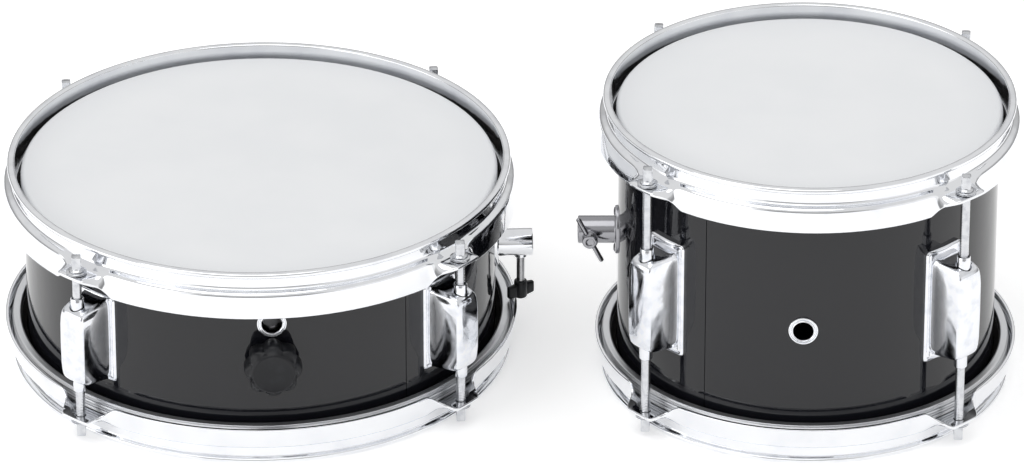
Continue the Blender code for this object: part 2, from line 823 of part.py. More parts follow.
def hinge_reach(drum):
    """Distance of the hinge pin behind the drum's axis: the hinge bracket stands on
    the shell's inner wall, with room for the strip's eye in front of its web."""
    web = drum.inner_flat - GAP - HINGE_FOOT_THICK - HINGE_WEB
    return web - HINGE_CLEAR - HINGE_BLOCK


def wire_height(drum, y):
    """Height of the wires' middle at a distance y behind the drum's axis, so that
    they lie level just below the film once the cam has lifted the strip."""
    reach = hinge_reach(drum)
    level = drum.height - RIM_STAND + GAP - WIRE_CLEAR - WIRE_RADIUS
    cam_y = -(drum.radius - 0.5 * (CAM_START + CAM_END))
    return level - CAM_LIFT * (reach - y) / (reach - cam_y)


def make_strainer(drum, steel):
    """Bent strip that carries the snare wires below the upper film.  Its front foot
    rests over the cam and its rear end turns on a pin."""
    place = drum.place
    reach = hinge_reach(drum)
    foot_z = KNOB_Z - CAM_OFFSET + CAM_RADIUS + CAM_CLEAR
    foot_front = -(drum.radius - CAM_START + FOOT_OVER_CAM)
    t = STRIP_THICK
    block = HINGE_BLOCK
    y0 = reach - STRIP_BEFORE_HINGE
    outline = [
        (foot_front, foot_z),
        (-y0 + t, foot_z),
        (-y0 + t, STRIP_Z),
        (y0 - t, STRIP_Z),
        (y0 - t, HINGE_Z - block),
        (reach + block, HINGE_Z - block),
        (reach + block, HINGE_Z + block),
        (y0, HINGE_Z + block),
        (y0, STRIP_Z + t),
        (-y0, STRIP_Z + t),
        (-y0, foot_z + t),
        (foot_front, foot_z + t),
    ]
    origin = (0.0, reach, HINGE_Z)
    w = STRIP_HALF_WIDE
    drill = w + HINGE_EAR_OUT + DRILL_OVER
    bm = loft([[(-w, y, z) for y, z in outline], [(w, y, z) for y, z in outline]])
    strip = piece("snare_strip", bm, steel, place, origin)
    across = place @ Matrix.Translation(origin) @ Matrix.Rotation(math.pi / 2.0, 4, "Y")
    eye = lathe_solid([(PIN_RADIUS + GAP, -drill), (PIN_RADIUS + GAP, drill)], HOLE_SIDES)
    combine(strip, eye, "DIFFERENCE", across)

    combs = None
    base = STRIP_Z + t + GAP
    for side in (-1.0, 1.0):
        y = side * COMB_REACH
        top = wire_height(drum, y) + 0.4 * WIRE_RADIUS
        rings = []
        for half, z in ((COMB_FOOT_HALF, base), (COMB_HALF, top)):
            rings.append([(-w, y - half, z), (w, y - half, z), (w, y + half, z), (-w, y + half, z)])
        tool = loft(rings)
        if combs is None:
            combs = piece("snare_wires", tool, steel, place, origin)
        else:
            combine(combs, tool, "UNION", place)
    for k in range(WIRE_COUNT):
        x = (k - 0.5 * (WIRE_COUNT - 1)) * WIRE_PITCH
        ends = []
        for y in (-COMB_REACH, COMB_REACH):
            z = wire_height(drum, y)
            ring = []
            for corner in range(4):
                a = 0.5 * math.pi * corner
                ring.append((x + WIRE_RADIUS * math.cos(a), y, z + WIRE_RADIUS * math.sin(a)))
            ends.append(ring)
        combine(combs, loft(ends), "UNION", place)

    back = drum.inner_flat - GAP
    narrow = HINGE_FOOT_HALF
    wide = STRIP_HALF_WIDE + HINGE_EAR_OUT
    inner = STRIP_HALF_WIDE + HINGE_EAR_IN
    web = back - HINGE_FOOT_THICK
    front_web = web - HINGE_WEB
    ear = reach - HINGE_EAR_FRONT
    plan = [
        (-narrow, back), (narrow, back), (narrow, web), (wide, web), (wide, ear), (inner, ear),
        (inner, front_web), (-inner, front_web), (-inner, ear), (-wide, ear), (-wide, web), (-narrow, web),
    ]
    low = HINGE_Z - HINGE_HALF_TALL
    high = HINGE_Z + HINGE_HALF_TALL
    bm = loft([[(x, y, low) for x, y in plan], [(x, y, high) for x, y in plan]])
    bracket = piece("snare_hinge_bracket", bm, steel, place)
    hole = lathe_solid([(PIN_RADIUS + GAP, -drill), (PIN_RADIUS + GAP, drill)], HOLE_SIDES)
    combine(bracket, hole, "DIFFERENCE", across)
    half = wide + PIN_OVER
    profile = [
        (PIN_RADIUS, -half), (PIN_RADIUS, wide + GAP), (PIN_HEAD, wide + GAP), (PIN_HEAD, half),
    ]
    pin = lathe_solid(profile, HOLE_SIDES)
    pin.transform(Matrix.Translation(origin) @ Matrix.Rotation(math.pi / 2.0, 4, "Y"))
    pin = piece("snare_hinge_pin", pin, steel, place, origin)
    smooth(pin)


def centre_kit():
    """Move the finished kit so that the middle of its footprint is the origin."""
    bpy.context.view_layer.update()
    low = [math.inf] * 2
    high = [-math.inf] * 2
    for obj in bpy.data.objects:
        for vert in obj.data.vertices:
            point = obj.matrix_world @ vert.co
            for axis in range(2):
                low[axis] = min(low[axis], point[axis])
                high[axis] = max(high[axis], point[axis])
    shift = Vector((-0.5 * (low[0] + high[0]), -0.5 * (low[1] + high[1]), 0.0))
    for obj in bpy.data.objects:
        obj.location = obj.location + shift
    print("kit moved by", [round(v / MM, 4) for v in shift])


def main():
    clear_scene()
    chrome = material("chrome", (0.80, 0.80, 0.83), 1.0, 0.08)
    wrap = material("black_wrap", (0.012, 0.012, 0.016), 0.0, 0.10)
    film = material("film", (0.80, 0.82, 0.83), 0.0, 0.45)
    aluminium = material("aluminium", (0.70, 0.71, 0.73), 1.0, 0.35)
    plastic = material("black_plastic", (0.02, 0.02, 0.022), 0.0, 0.35)
    steel = material("steel", (0.56, 0.56, 0.58), 1.0, 0.25)

    snare = Drum("snare", SNARE_RADIUS, SNARE_DEPTH, SNARE_TURN, 0.0, 0.0,
                 SNARE_LUG_MIDDLE, SNARE_LUG_PLATE, SNARE_LUG_CASE, SNARE_LUG_NUT)
    tom = Drum("tom", TOM_RADIUS, TOM_DEPTH, TOM_TURN, DRUM_SPACING, TOM_RADIUS - SNARE_RADIUS,
               TOM_LUG_MIDDLE, TOM_LUG_PLATE, TOM_LUG_CASE, TOM_LUG_NUT)

    for drum, vent_z in ((snare, SNARE_VENT_Z), (tom, TOM_VENT_Z)):
        shell = make_shell(drum, wrap)
        for upper in (True, False):
            make_film(drum, film, upper)
            make_ring(drum, aluminium, upper)
            make_hoop(drum, chrome, upper)
        make_rods(drum, chrome)
        make_lugs(drum, chrome)
        make_grommet(drum, chrome, shell, vent_z)
        if drum is snare:
            down = Matrix.Rotation(math.pi / 2.0, 4, "X")
            frame = make_bracket(
                drum, chrome, shell, SNARE_BRACKET_ANGLE, SNARE_BRACKET_Z, SNARE_BRACKET_REACH,
                down, SNARE_CLAMP_OUT
            )
            make_snare_clamp(drum, steel, plastic, frame)
            make_knob(drum, plastic, steel)
            cut_round(shell, drum, 0.0, KNOB_Z, BUSH_RADIUS + HOLE_GAP)
            make_strainer(drum, steel)
        else:
            front = Matrix.Rotation(math.pi / 2.0, 4, "Y")
            frame = make_bracket(
                drum, steel, shell, TOM_BRACKET_ANGLE, TOM_BRACKET_Z, TOM_BRACKET_REACH,
                front, TOM_CLAMP_OUT
            )
            make_tom_clamp(steel, frame)
        smooth(shell)
    centre_kit()


main()
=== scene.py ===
# %% [markdown]
# # Two junior drums with chrome hoops
# A shallow snare drum stands beside a deeper small tom. Both have gloss black
# shells, frosted heads and pressed chrome hoops that are drawn down by long
# square-headed rods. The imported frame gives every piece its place. This lesson
# dresses that frame, piece by piece, with finer shapes and with materials.

# %% Load the frame and note its size
import math

import bmesh
import bpy
from mathutils import Matrix, Vector


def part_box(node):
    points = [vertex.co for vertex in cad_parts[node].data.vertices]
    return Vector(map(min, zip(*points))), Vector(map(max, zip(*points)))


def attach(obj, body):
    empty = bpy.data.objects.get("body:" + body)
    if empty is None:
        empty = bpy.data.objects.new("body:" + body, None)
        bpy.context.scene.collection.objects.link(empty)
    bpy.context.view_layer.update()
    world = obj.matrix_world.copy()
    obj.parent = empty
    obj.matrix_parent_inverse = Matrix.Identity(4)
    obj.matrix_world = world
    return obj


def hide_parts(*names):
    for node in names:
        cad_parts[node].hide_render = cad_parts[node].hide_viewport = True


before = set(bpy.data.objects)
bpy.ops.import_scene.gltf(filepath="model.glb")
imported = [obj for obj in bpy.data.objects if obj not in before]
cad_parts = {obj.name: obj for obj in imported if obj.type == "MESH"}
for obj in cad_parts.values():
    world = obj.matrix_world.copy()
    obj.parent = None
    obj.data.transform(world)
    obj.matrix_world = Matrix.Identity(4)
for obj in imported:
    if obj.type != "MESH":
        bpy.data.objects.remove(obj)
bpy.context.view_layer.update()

MM = 0.001

# %% [markdown]
# ## Where each drum stands
# Every fitting on a drum is placed by an angle around the shell, a height and a
# distance out of the shell. So one small class holds a drum's middle, radius,
# height and turn, and hands out matrices. The middle comes from the frame's own
# shell, which keeps the dressed pieces exactly on the solids below them.

# %% One drum and its measures
class Drum:
    """The measures of one drum and the way to a place on it."""

    def __init__(self, name, radius, turn, lug_middle, lug_plate, lug_case, lug_nut):
        low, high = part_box(name + "_shell")
        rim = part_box(name + "_top_hoop")[1]
        self.name = name
        self.radius = radius
        self.height = rim.z
        self.middle = Vector((0.5 * (low.x + high.x), 0.5 * (low.y + high.y), 0.0))
        self.turn = math.radians(turn)
        self.lug_middle = lug_middle
        self.lug_plate = lug_plate
        self.lug_case = lug_case
        self.lug_nut = lug_nut
        self.place = Matrix.Translation(self.middle) @ Matrix.Rotation(self.turn, 4, "Z")

    def facing(self, angle, z=0.0):
        """Frame at a height on the drum's axis: +Z points out of the shell at that
        angle from the front, +X runs along the shell and +Y points up."""
        a = math.radians(angle)
        along = Vector((math.cos(a), math.sin(a), 0.0))
        out = Vector((math.sin(a), -math.cos(a), 0.0))
        turned = Matrix((along, Vector((0.0, 0.0, 1.0)), out)).transposed().to_4x4()
        turned.translation = Vector((0.0, 0.0, z))
        return self.place @ turned


snare = Drum("snare", 127.0 * MM, 4.5, 58.0 * MM, 25.2 * MM, 20.5 * MM, 27.8 * MM)
tom = Drum("tom", 101.6 * MM, -3.0, 80.0 * MM, 33.0 * MM, 25.0 * MM, 33.0 * MM)
ROD_ANGLES = (-45.0, 45.0, 135.0, -135.0)
for drum in (snare, tom):
    print(
        drum.name, "middle", [round(v / MM, 2) for v in drum.middle], "height",
        round(drum.height / MM, 2),
    )

# %% [markdown]
# ## Writing nodes as expressions
# A node tree is easier to read as a formula. `Tap` wraps one output socket and
# turns `+`, `-`, `*` and `/` into Math nodes. `Net` adds any other node in one
# call. Math nodes exist in shader trees and in Geometry Nodes trees alike, so
# the same two classes serve the materials and the pieces that follow a rule.

# %% Sockets with operators
class Tap:
    """An output socket that can be used in sums."""

    def __init__(self, net, socket):
        self.net = net
        self.socket = socket

    def math(self, operation, *others):
        values = {0: self}
        values.update({k + 1: other for k, other in enumerate(others)})
        return self.net.node("ShaderNodeMath", {"operation": operation}, values)

    def __add__(self, other):
        return self.math("ADD", other)

    def __mul__(self, other):
        return self.math("MULTIPLY", other)

    def __sub__(self, other):
        return self.math("SUBTRACT", other)

    def __rsub__(self, other):
        return (self * -1.0).math("ADD", other)

    def __truediv__(self, other):
        return self.math("DIVIDE", other)

    __radd__ = __add__
    __rmul__ = __mul__

    def clamp(self):
        """The value kept between 0 and 1."""
        return self.math("MAXIMUM", 0.0).math("MINIMUM", 1.0)

    def ramp(self, low, high):
        """0 at `low`, 1 at `high`, with a soft start and end."""
        settings = {"interpolation_type": "SMOOTHSTEP"}
        return self.net.node(
            "ShaderNodeMapRange", settings, {"Value": self, "From Min": low, "From Max": high},
        )


class Net:
    """A node tree that nodes are added to one call at a time."""

    def __init__(self, tree):
        self.tree = tree

    def node(self, kind, settings=None, sockets=None, out=0):
        """Add a node, set it up, fill its sockets and return one output."""
        made = self.tree.nodes.new(kind)
        for key, value in (settings or {}).items():
            if key == "stops":
                stops = made.color_ramp.elements
                while len(stops) < len(value):
                    stops.new(1.0)
                for stop, (at, colour) in zip(stops, value):
                    stop.position = at
                    stop.color = (*colour, 1.0)
            else:
                setattr(made, key, value)
        for key, value in (sockets or {}).items():
            self.fill(made.inputs[key], value)
        return Tap(self, made.outputs[out])

    def fill(self, socket, value):
        """Link a socket or give it a plain value."""
        if isinstance(value, Tap):
            self.tree.links.new(value.socket, socket)
        elif isinstance(value, tuple) and len(value) == 3 and len(socket.default_value) == 4:
            socket.default_value = (*value, 1.0)
        else:
            socket.default_value = value

    def mix(self, share, first, second):
        """Blend of two colours."""
        settings = {"data_type": "RGBA"}
        return self.node("ShaderNodeMix", settings, {0: share, 6: first, 7: second}, 2)


print("tree helpers ready")

# %% [markdown]
# ## A material helper
# A finish is a Principled shader plus what varies over the surface. Numbers that
# are the same everywhere go straight onto the shader's sockets. Colour, roughness
# and bump get links. Patterns read Object coordinates in metres, so a grain of
# half a millimetre is half a millimetre on every piece.

# %% Finishes
class Finish(Net):
    """A named material with a Principled shader."""

    def __init__(self, name, **numbers):
        self.material = bpy.data.materials.new(name)
        self.material.use_nodes = True
        super().__init__(self.material.node_tree)
        self.shader = self.tree.nodes["Principled BSDF"]
        self.set(**numbers)

    def set(self, **values):
        """Set or link the shader's sockets, with _ for a space in their names."""
        for key, value in values.items():
            self.fill(self.shader.inputs[key.replace("_", " ")], value)

    def place(self):
        """Object coordinates."""
        return self.node("ShaderNodeTexCoord", out="Object")

    def noise(self, size, detail=2.0, roughness=0.5, place=None, out=0):
        """Noise whose lumps are about `size` metres across."""
        values = {
            "Vector": place or self.place(), "Scale": 1.0 / size, "Detail": detail,
            "Roughness": roughness,
        }
        return self.node("ShaderNodeTexNoise", None, values, out)

    def bump(self, height, depth):
        """Normal of a relief `depth` metres deep."""
        return self.node("ShaderNodeBump", None, {"Strength": 1.0, "Distance": depth, "Height": height})


print("material helper ready")

# %% [markdown]
# ## Chrome plate
# Hoops, lugs, rods and vents are polished steel or zinc under bright chrome. A
# chromed surface is almost a mirror, so most of its look comes from what stands
# around it. What makes it real is slight: the pressed sheet isn't perfectly flat,
# which bends the reflections a little, and handling leaves a faint haze. The rods
# have the thinner zinc plate of ordinary screws, which is a little greyer. The
# lugs are cast, so their chrome lies on a surface with small soft dents.

# %% Bright chrome
def make_chrome():
    chrome = Finish("bright_chrome", Metallic=1.0)
    haze = chrome.noise(0.018, 3.0).ramp(0.42, 0.72)
    chrome.set(
        Base_Color=chrome.mix(haze, (0.86, 0.87, 0.89), (0.80, 0.81, 0.84)),
        Roughness=0.045 + 0.05 * haze,
        Normal=chrome.bump(chrome.noise(0.016, 1.0), 0.00030),
    )
    return chrome.material


def make_zinc():
    zinc = Finish("bright_zinc", Metallic=1.0)
    film = zinc.noise(0.004, 3.0).ramp(0.35, 0.75)
    zinc.set(
        Base_Color=zinc.mix(film, (0.66, 0.67, 0.69), (0.52, 0.53, 0.56)),
        Roughness=0.10 + 0.10 * film,
    )
    return zinc.material


def make_cast_chrome():
    cast = Finish("cast_chrome", Metallic=1.0)
    haze = cast.noise(0.006, 3.0).ramp(0.40, 0.75)
    cast.set(
        Base_Color=cast.mix(haze, (0.84, 0.85, 0.88), (0.72, 0.74, 0.78)),
        Roughness=0.07 + 0.08 * haze,
        Normal=cast.bump(cast.noise(0.008, 1.0), 0.00006),
    )
    return cast.material


CHROME = make_chrome()
ZINC = make_zinc()
CAST = make_cast_chrome()
print("made", CHROME.name, ZINC.name, CAST.name)

# %% [markdown]
# ## Satin nickel
# The tom's bracket and its clamp screw are duller and a little warmer than the
# chrome. Fine scratches from tumbling run in all directions, so a small noise on
# the roughness and a shallow bump are enough.

# %% Satin nickel
def make_nickel():
    nickel = Finish("satin_nickel", Metallic=1.0)
    grain = nickel.noise(0.0011, 4.0, 0.65)
    cloud = nickel.noise(0.012, 2.0)
    nickel.set(
        Base_Color=nickel.mix(cloud, (0.30, 0.30, 0.32), (0.38, 0.38, 0.40)),
        Roughness=0.13 + 0.07 * grain,
        Normal=nickel.bump(grain, 0.000012),
    )
    return nickel.material


NICKEL = make_nickel()
print("made", NICKEL.name)

# %% [markdown]
# ## Gloss black wrap
# The shells are covered with black plastic film that was rolled on under heat. It
# reflects sharply, yet a weak orange peel and the plies below make long
# reflections waver. The wrap is a dielectric, so it stays black face on and turns
# bright toward the edges of the drum: the shader's own Fresnel does that.

# %% Gloss wrap
def make_wrap():
    wrap = Finish("gloss_black_wrap", IOR=1.5, Coat_IOR=1.5)
    peel = wrap.noise(0.007, 2.0)
    swell = wrap.noise(0.045, 1.0)
    dust = wrap.noise(0.0009, 3.0).ramp(0.62, 0.80)
    wrap.set(
        Base_Color=wrap.mix(dust, (0.0075, 0.0078, 0.0105), (0.014, 0.014, 0.017)),
        Roughness=0.05 + 0.06 * dust,
        Normal=wrap.bump(peel * 0.12 + swell * 0.88, 0.00030),
    )
    return wrap.material


WRAP = make_wrap()
print("made", WRAP.name)

# %% [markdown]
# ## Ply wood inside the shells
# The shell is rolled from thin plies of pale wood. The inner face shows the grain
# of one ply, which runs around the drum, and the bearing edges show the glue
# lines. Noise stretched along the height and a wave of thin dark pores do it.

# %% Ply wood
def make_wood():
    wood = Finish("ply_wood", Roughness=0.6)
    stretched = wood.node(
        "ShaderNodeMapping", None, {"Vector": wood.place(), "Scale": (0.08, 0.08, 1.0)},
    )
    grain = wood.noise(0.0022, 5.0, 0.6, stretched)
    pores = wood.noise(0.0007, 3.0, 0.7, stretched).ramp(0.60, 0.72)
    tone = wood.mix(grain, (0.50, 0.33, 0.18), (0.64, 0.46, 0.28))
    wood.set(
        Base_Color=wood.mix(pores * 0.55, tone, (0.30, 0.18, 0.09)),
        Roughness=0.52 + 0.2 * grain,
        Normal=wood.bump(grain - pores * 0.5, 0.00012),
    )
    return wood.material


WOOD = make_wood()
print("made", WOOD.name)

# %% [markdown]
# ## Frosted head film
# The heads are clear polyester sprayed with a thin white frost. The frost has a
# fine tooth that brushes and sticks can feel. The head is coloured slightly greyer
# toward the hoop, painted shade for the recess where the film bends down inside it.
# The collar below the bend has no frost and is coloured near black, partly for the
# dark wrap behind its clear film and partly as painted shade for the deep gap between shell and ring.

# %% Frosted film
def make_film(drum):
    film = Finish(drum.name + "_frosted_film", IOR=1.46)
    values = {"Vector": film.place(), "Location": tuple(-drum.middle)}
    centred = film.node("ShaderNodeMapping", {"vector_type": "POINT"}, values)
    parts = [film.node("ShaderNodeSeparateXYZ", None, {0: centred}, k) for k in (0, 1, 2)]
    half = 0.5 * drum.height
    # painted shade: the collar below the bend is coloured near black for the dark gap between shell and ring
    collar = 1.0 - (parts[2] - half).math("ABSOLUTE").ramp(half - 12.0 * MM, half - 10.5 * MM)
    out = (parts[0] * parts[0] + parts[1] * parts[1]).math("SQRT")
    # painted shade: the head turns greyer over its outer 24 mm toward the hoop
    rim = out.ramp(drum.radius - 24.0 * MM, drum.radius + 2.0 * MM)
    tooth = film.noise(0.00055, 3.0, 0.7)
    cloud = film.noise(0.05, 3.0).ramp(0.3, 0.7)
    clean = film.mix(cloud, (0.795, 0.808, 0.823), (0.820, 0.830, 0.843))
    frost = film.mix(rim, clean, (0.772, 0.785, 0.802))
    film.set(
        Base_Color=film.mix(collar, frost, (0.020, 0.018, 0.018)),
        Roughness=0.34 + 0.14 * tooth,
        Normal=film.bump(tooth, 0.00005),
    )
    return film.material


FILM = {drum.name: make_film(drum) for drum in (snare, tom)}
print("made", [look.name for look in FILM.values()])

# %% [markdown]
# ## Rolled aluminium, black plastic and strainer steel
# The ring that grips a head is plain rolled aluminium with fine lines along it. Its
# grooves are coloured near black, partly for dark lacquer left in them and partly as painted shade.
# The two knobs are moulded plastic: satin, very dark, with a slight texture and
# duller, lighter patches of wear. Wires and strip are plain spring steel.

# %% Three small finishes
def make_aluminium():
    metal = Finish("rolled_aluminium", Metallic=1.0)
    lines = metal.node("ShaderNodeMapping", None, {"Vector": metal.place(), "Scale": (0.03, 0.03, 1.0)})
    drawn = metal.noise(0.0004, 3.0, 0.7, lines)
    # painted shade and lacquer: the groove mark colours the bottoms of the grooves near black
    depth = metal.node("ShaderNodeAttribute", {"attribute_name": "groove"}, None, 2)
    metal.set(
        Base_Color=metal.mix(
            depth, metal.mix(drawn, (0.74, 0.75, 0.77), (0.80, 0.81, 0.83)),
            (0.05, 0.05, 0.06),
        ),
        Roughness=0.26 + 0.14 * drawn,
        Normal=metal.bump(drawn, 0.00004),
    )
    return metal.material


def make_plastic():
    plastic = Finish("satin_black_plastic", IOR=1.36)
    skin = plastic.noise(0.0006, 3.0, 0.6)
    worn = plastic.noise(0.006, 3.0).ramp(0.45, 0.75)
    plastic.set(
        Base_Color=plastic.mix(worn, (0.0085, 0.009, 0.011), (0.014, 0.015, 0.018)),
        Roughness=0.30 + 0.12 * worn,
        Normal=plastic.bump(skin, 0.00006),
    )
    return plastic.material


def make_steel():
    steel = Finish("spring_steel", Metallic=1.0)
    drawn = steel.noise(0.0015, 3.0, 0.6)
    steel.set(
        Base_Color=steel.mix(drawn, (0.50, 0.50, 0.51), (0.62, 0.62, 0.63)),
        Roughness=0.24 + 0.14 * drawn,
        Normal=steel.bump(drawn, 0.00004),
    )
    return steel.material


ALUMINIUM = make_aluminium()
PLASTIC = make_plastic()
STEEL = make_steel()
print("made", ALUMINIUM.name, PLASTIC.name, STEEL.name)

# %% [markdown]
# ## From points to finished pieces
# Most metal pieces here are one closed outline carried around an axis or through
# a stack of levels. `rounded` softens an outline's corners by a radius of their
# own, `band` joins outlines in a ring and `stack` joins them in a pile. `finished`
# turns the mesh into a named object that rides on a body of the frame.

# %% Outlines and meshes
def rounded(points, radii, steps=4):
    """Closed outline with every corner turned into a small arc."""
    result = []
    count = len(points)
    for k, point in enumerate(points):
        here = Vector(point)
        before = Vector(points[k - 1]) - here
        after = Vector(points[(k + 1) % count]) - here
        reach = min(radii[k], 0.48 * before.length, 0.48 * after.length)
        start = here + before.normalized() * reach
        end = here + after.normalized() * reach
        for j in range(steps + 1):
            t = j / steps
            result.append(start * (1 - t) ** 2 + here * (2 * t * (1 - t)) + end * t ** 2)
    return result


def band(sections, bm=None):
    """Closed ring through sections that stand one after the other."""
    bm = bm or bmesh.new()
    rows = [[bm.verts.new(p) for p in section] for section in sections]
    count = len(sections[0])
    for k, here in enumerate(rows):
        after = rows[(k + 1) % len(rows)]
        for i in range(count):
            j = (i + 1) % count
            bm.faces.new((here[i], here[j], after[j], after[i]))
    return bm


def stack(levels, bm=None):
    """Closed form through a pile of outlines, with both ends filled."""
    bm = bm or bmesh.new()
    rows = [[bm.verts.new(p) for p in level] for level in levels]
    count = len(levels[0])
    for low, high in zip(rows, rows[1:]):
        for i in range(count):
            j = (i + 1) % count
            bm.faces.new((low[i], low[j], high[j], high[i]))
    bm.faces.new(list(reversed(rows[0])))
    bm.faces.new(rows[-1])
    return bm


def circle(radius, z, sides, centre=(0.0, 0.0)):
    """Points of a circle about Z."""
    turns = [2.0 * math.pi * k / sides for k in range(sides)]
    return [Vector((
        centre[0] + radius * math.cos(a), centre[1] + radius * math.sin(a), z,
    )) for a in turns]


def turned_solid(profile, sides, bm=None):
    """Solid of revolution through rings given as (radius, z)."""
    return stack([circle(r, z, sides) for r, z in profile], bm)


def turned_ring(profile, sides, bm=None):
    """Ring about Z with the closed profile [(radius, z), ...]."""
    turns = [2.0 * math.pi * k / sides for k in range(sides)]
    sections = [[Vector((r * math.cos(a), r * math.sin(a), z)) for r, z in profile] for a in turns]
    return band(sections, bm)


print("outline helpers ready")

# %% A finished piece
def finished(name, bm, look, body, stands_for=(), place=None, sharp=38.0, clean=True):
    """Make a named object at the origin, with its place in its mesh."""
    if clean:
        bmesh.ops.remove_doubles(bm, verts=bm.verts, dist=1e-7)
        bmesh.ops.recalc_face_normals(bm, faces=bm.faces)
    if place is not None:
        bm.transform(place)
    mesh = bpy.data.meshes.new(name)
    bm.to_mesh(mesh)
    bm.free()
    return shown(name, mesh, look, body, stands_for, sharp)


def shown(name, mesh, look, body, stands_for=(), sharp=38.0):
    """Link a mesh as a piece of the drum that rides on a body."""
    if look is not None:
        mesh.materials.clear()
        mesh.materials.append(look)
    mesh.shade_smooth()
    if sharp is not None:
        mesh.set_sharp_from_angle(angle=math.radians(sharp))
    obj = bpy.data.objects.new(name, mesh)
    bpy.context.collection.objects.link(obj)
    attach(obj, body)
    if stands_for:
        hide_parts(*stands_for)
    return obj


def cut(obj, tool_bm, place=None):
    """Cut a closed form out of a piece for good."""
    bmesh.ops.recalc_face_normals(tool_bm, faces=tool_bm.faces)
    if place is not None:
        tool_bm.transform(place)
    mesh = bpy.data.meshes.new("cutter")
    tool_bm.to_mesh(mesh)
    tool_bm.free()
    tool = bpy.data.objects.new("cutter", mesh)
    bpy.context.collection.objects.link(tool)
    step = obj.modifiers.new("cut", "BOOLEAN")
    step.operation = "DIFFERENCE"
    step.solver = "EXACT"
    step.object = tool
    graph = bpy.context.evaluated_depsgraph_get()
    result = bpy.data.meshes.new_from_object(obj.evaluated_get(graph))
    obj.modifiers.clear()
    obj.data = result
    bpy.data.objects.remove(tool, do_unlink=True)


print("piece helpers ready")

# %% [markdown]
# ## Shells
# A shell is a tube 6 mm thick with a bearing edge at each end. It is turned from
# one profile with 192 sides and gets its holes by a boolean. Cutting holes into a
# gloss cylinder normally spoils its shading, because the new faces bend the
# normals. So the exact normals of a cylinder are written onto the outer and inner
# wall afterwards. Where the two ends of the wrap meet, a fine groove runs from rim
# to rim.

# %% Wooden shells under the wrap
RIM_STAND = 6.8 * MM
SHELL_WALL = 6.0 * MM
EDGE_IN = 1.5 * MM
EDGE_BEVEL = 3.5 * MM
SHELL_SIDES = 192
SEAM_HALF = 0.25 * MM
SEAM_DEEP = 0.4 * MM


def shell_normals(obj, drum):
    """Give both walls the normals of true cylinders and set wrap and wood."""
    mesh = obj.data
    normals = []
    for face in mesh.polygons:
        out = (face.center - drum.middle) * Vector((1.0, 1.0, 0.0))
        lean = face.normal.dot(out.normalized())
        far = out.length > drum.radius - 1.0 * MM
        face.material_index = 0 if abs(face.normal.z) < 0.3 and far else 1
        for corner in face.loop_indices:
            point = mesh.vertices[mesh.loops[corner].vertex_index].co
            radial = ((point - drum.middle) * Vector((1.0, 1.0, 0.0))).normalized()
            if lean > 0.9:
                normals.append(radial)
            elif lean < -0.9:
                normals.append(-radial)
            else:
                normals.append(face.normal.copy())
    mesh.shade_smooth()
    mesh.normals_split_custom_set(normals)


def make_shell(drum, holes, seam):
    low = RIM_STAND
    high = drum.height - RIM_STAND
    out = drum.radius
    peak = out - EDGE_IN
    inner = out - SHELL_WALL
    profile = [
        (out, low + EDGE_IN), (out, high - EDGE_IN), (peak, high),
        (inner, high - EDGE_BEVEL), (inner, low + EDGE_BEVEL), (peak, low),
    ]
    bm = turned_ring(profile, SHELL_SIDES)
    shell = finished(drum.name + "_wrapped_shell", bm, WRAP, drum.name,
                     [drum.name + "_shell"], drum.place, None)
    shell.data.materials.append(WOOD)
    for angle, z, radius in holes:
        tool = turned_solid([(radius, out - 12.0 * MM), (radius, out + 8.0 * MM)], 32)
        cut(shell, tool, drum.facing(angle, z))
    groove = [
        (-SEAM_HALF, out + 1.0 * MM), (-SEAM_HALF, out - SEAM_DEEP),
        (SEAM_HALF, out - SEAM_DEEP), (SEAM_HALF, out + 1.0 * MM),
    ]
    tool = stack([[Vector((x, y, o)) for x, o in groove] for y in (low - 1.0 * MM, high + 1.0 * MM)])
    cut(shell, tool, drum.facing(seam))
    shell_normals(shell, drum)
    return shell


SNARE_VENT_Z = 80.2 * MM
TOM_VENT_Z = 76.0 * MM
KNOB_Z = 58.0 * MM
SNARE_BRACKET = (88.3, 57.0 * MM)
TOM_BRACKET = (-87.0, 82.0 * MM)
snare_shell = make_shell(
    snare,
    [(0.0, SNARE_VENT_Z, 6.6 * MM), (0.0, KNOB_Z, 5.4 * MM), (*SNARE_BRACKET, 7.4 * MM)], 34.5,
)
tom_shell = make_shell(tom, [(0.0, TOM_VENT_Z, 6.6 * MM), (*TOM_BRACKET, 7.4 * MM)], -30.7)
print("shell faces", len(snare_shell.data.polygons), len(tom_shell.data.polygons))

# %% [markdown]
# ## Heads
# The film lies flat, bends over the bearing edge on a radius of about 2 mm and
# runs down outside the shell into its ring. A turned form is the right one here:
# the sheet has no feature that changes around the drum. It is closed with its real
# thickness, so that light and shadow at the edge are right.

# %% Frosted heads
FILM_THICK = 0.5 * MM
GAP = 0.3 * MM
SEAT_DEPTH = 14.4 * MM
RING_HEIGHT = 8.0 * MM
COLLAR_OUT = 1.3 * MM
COLLAR_IN = 0.6 * MM
BEND = 2.4 * MM


def film_profile(drum, shift, collar):
    """Open line from the middle of the head to the end of its collar."""
    top = drum.height - RIM_STAND + GAP + shift
    edge = drum.radius + collar
    end = drum.height - SEAT_DEPTH - GAP - RING_HEIGHT + 4.5 * MM
    line = [(edge * share, top) for share in (0.02, 0.3, 0.6, 0.85)]
    line.append((edge - BEND - 3.0 * MM, top))
    for step in range(9):
        a = 0.5 * math.pi * step / 8
        line.append((edge - BEND + BEND * math.sin(a), top - BEND + BEND * math.cos(a)))
    line.append((edge, end + 2.5 * MM))
    line.append((edge + 2.6 * MM, end))
    return line


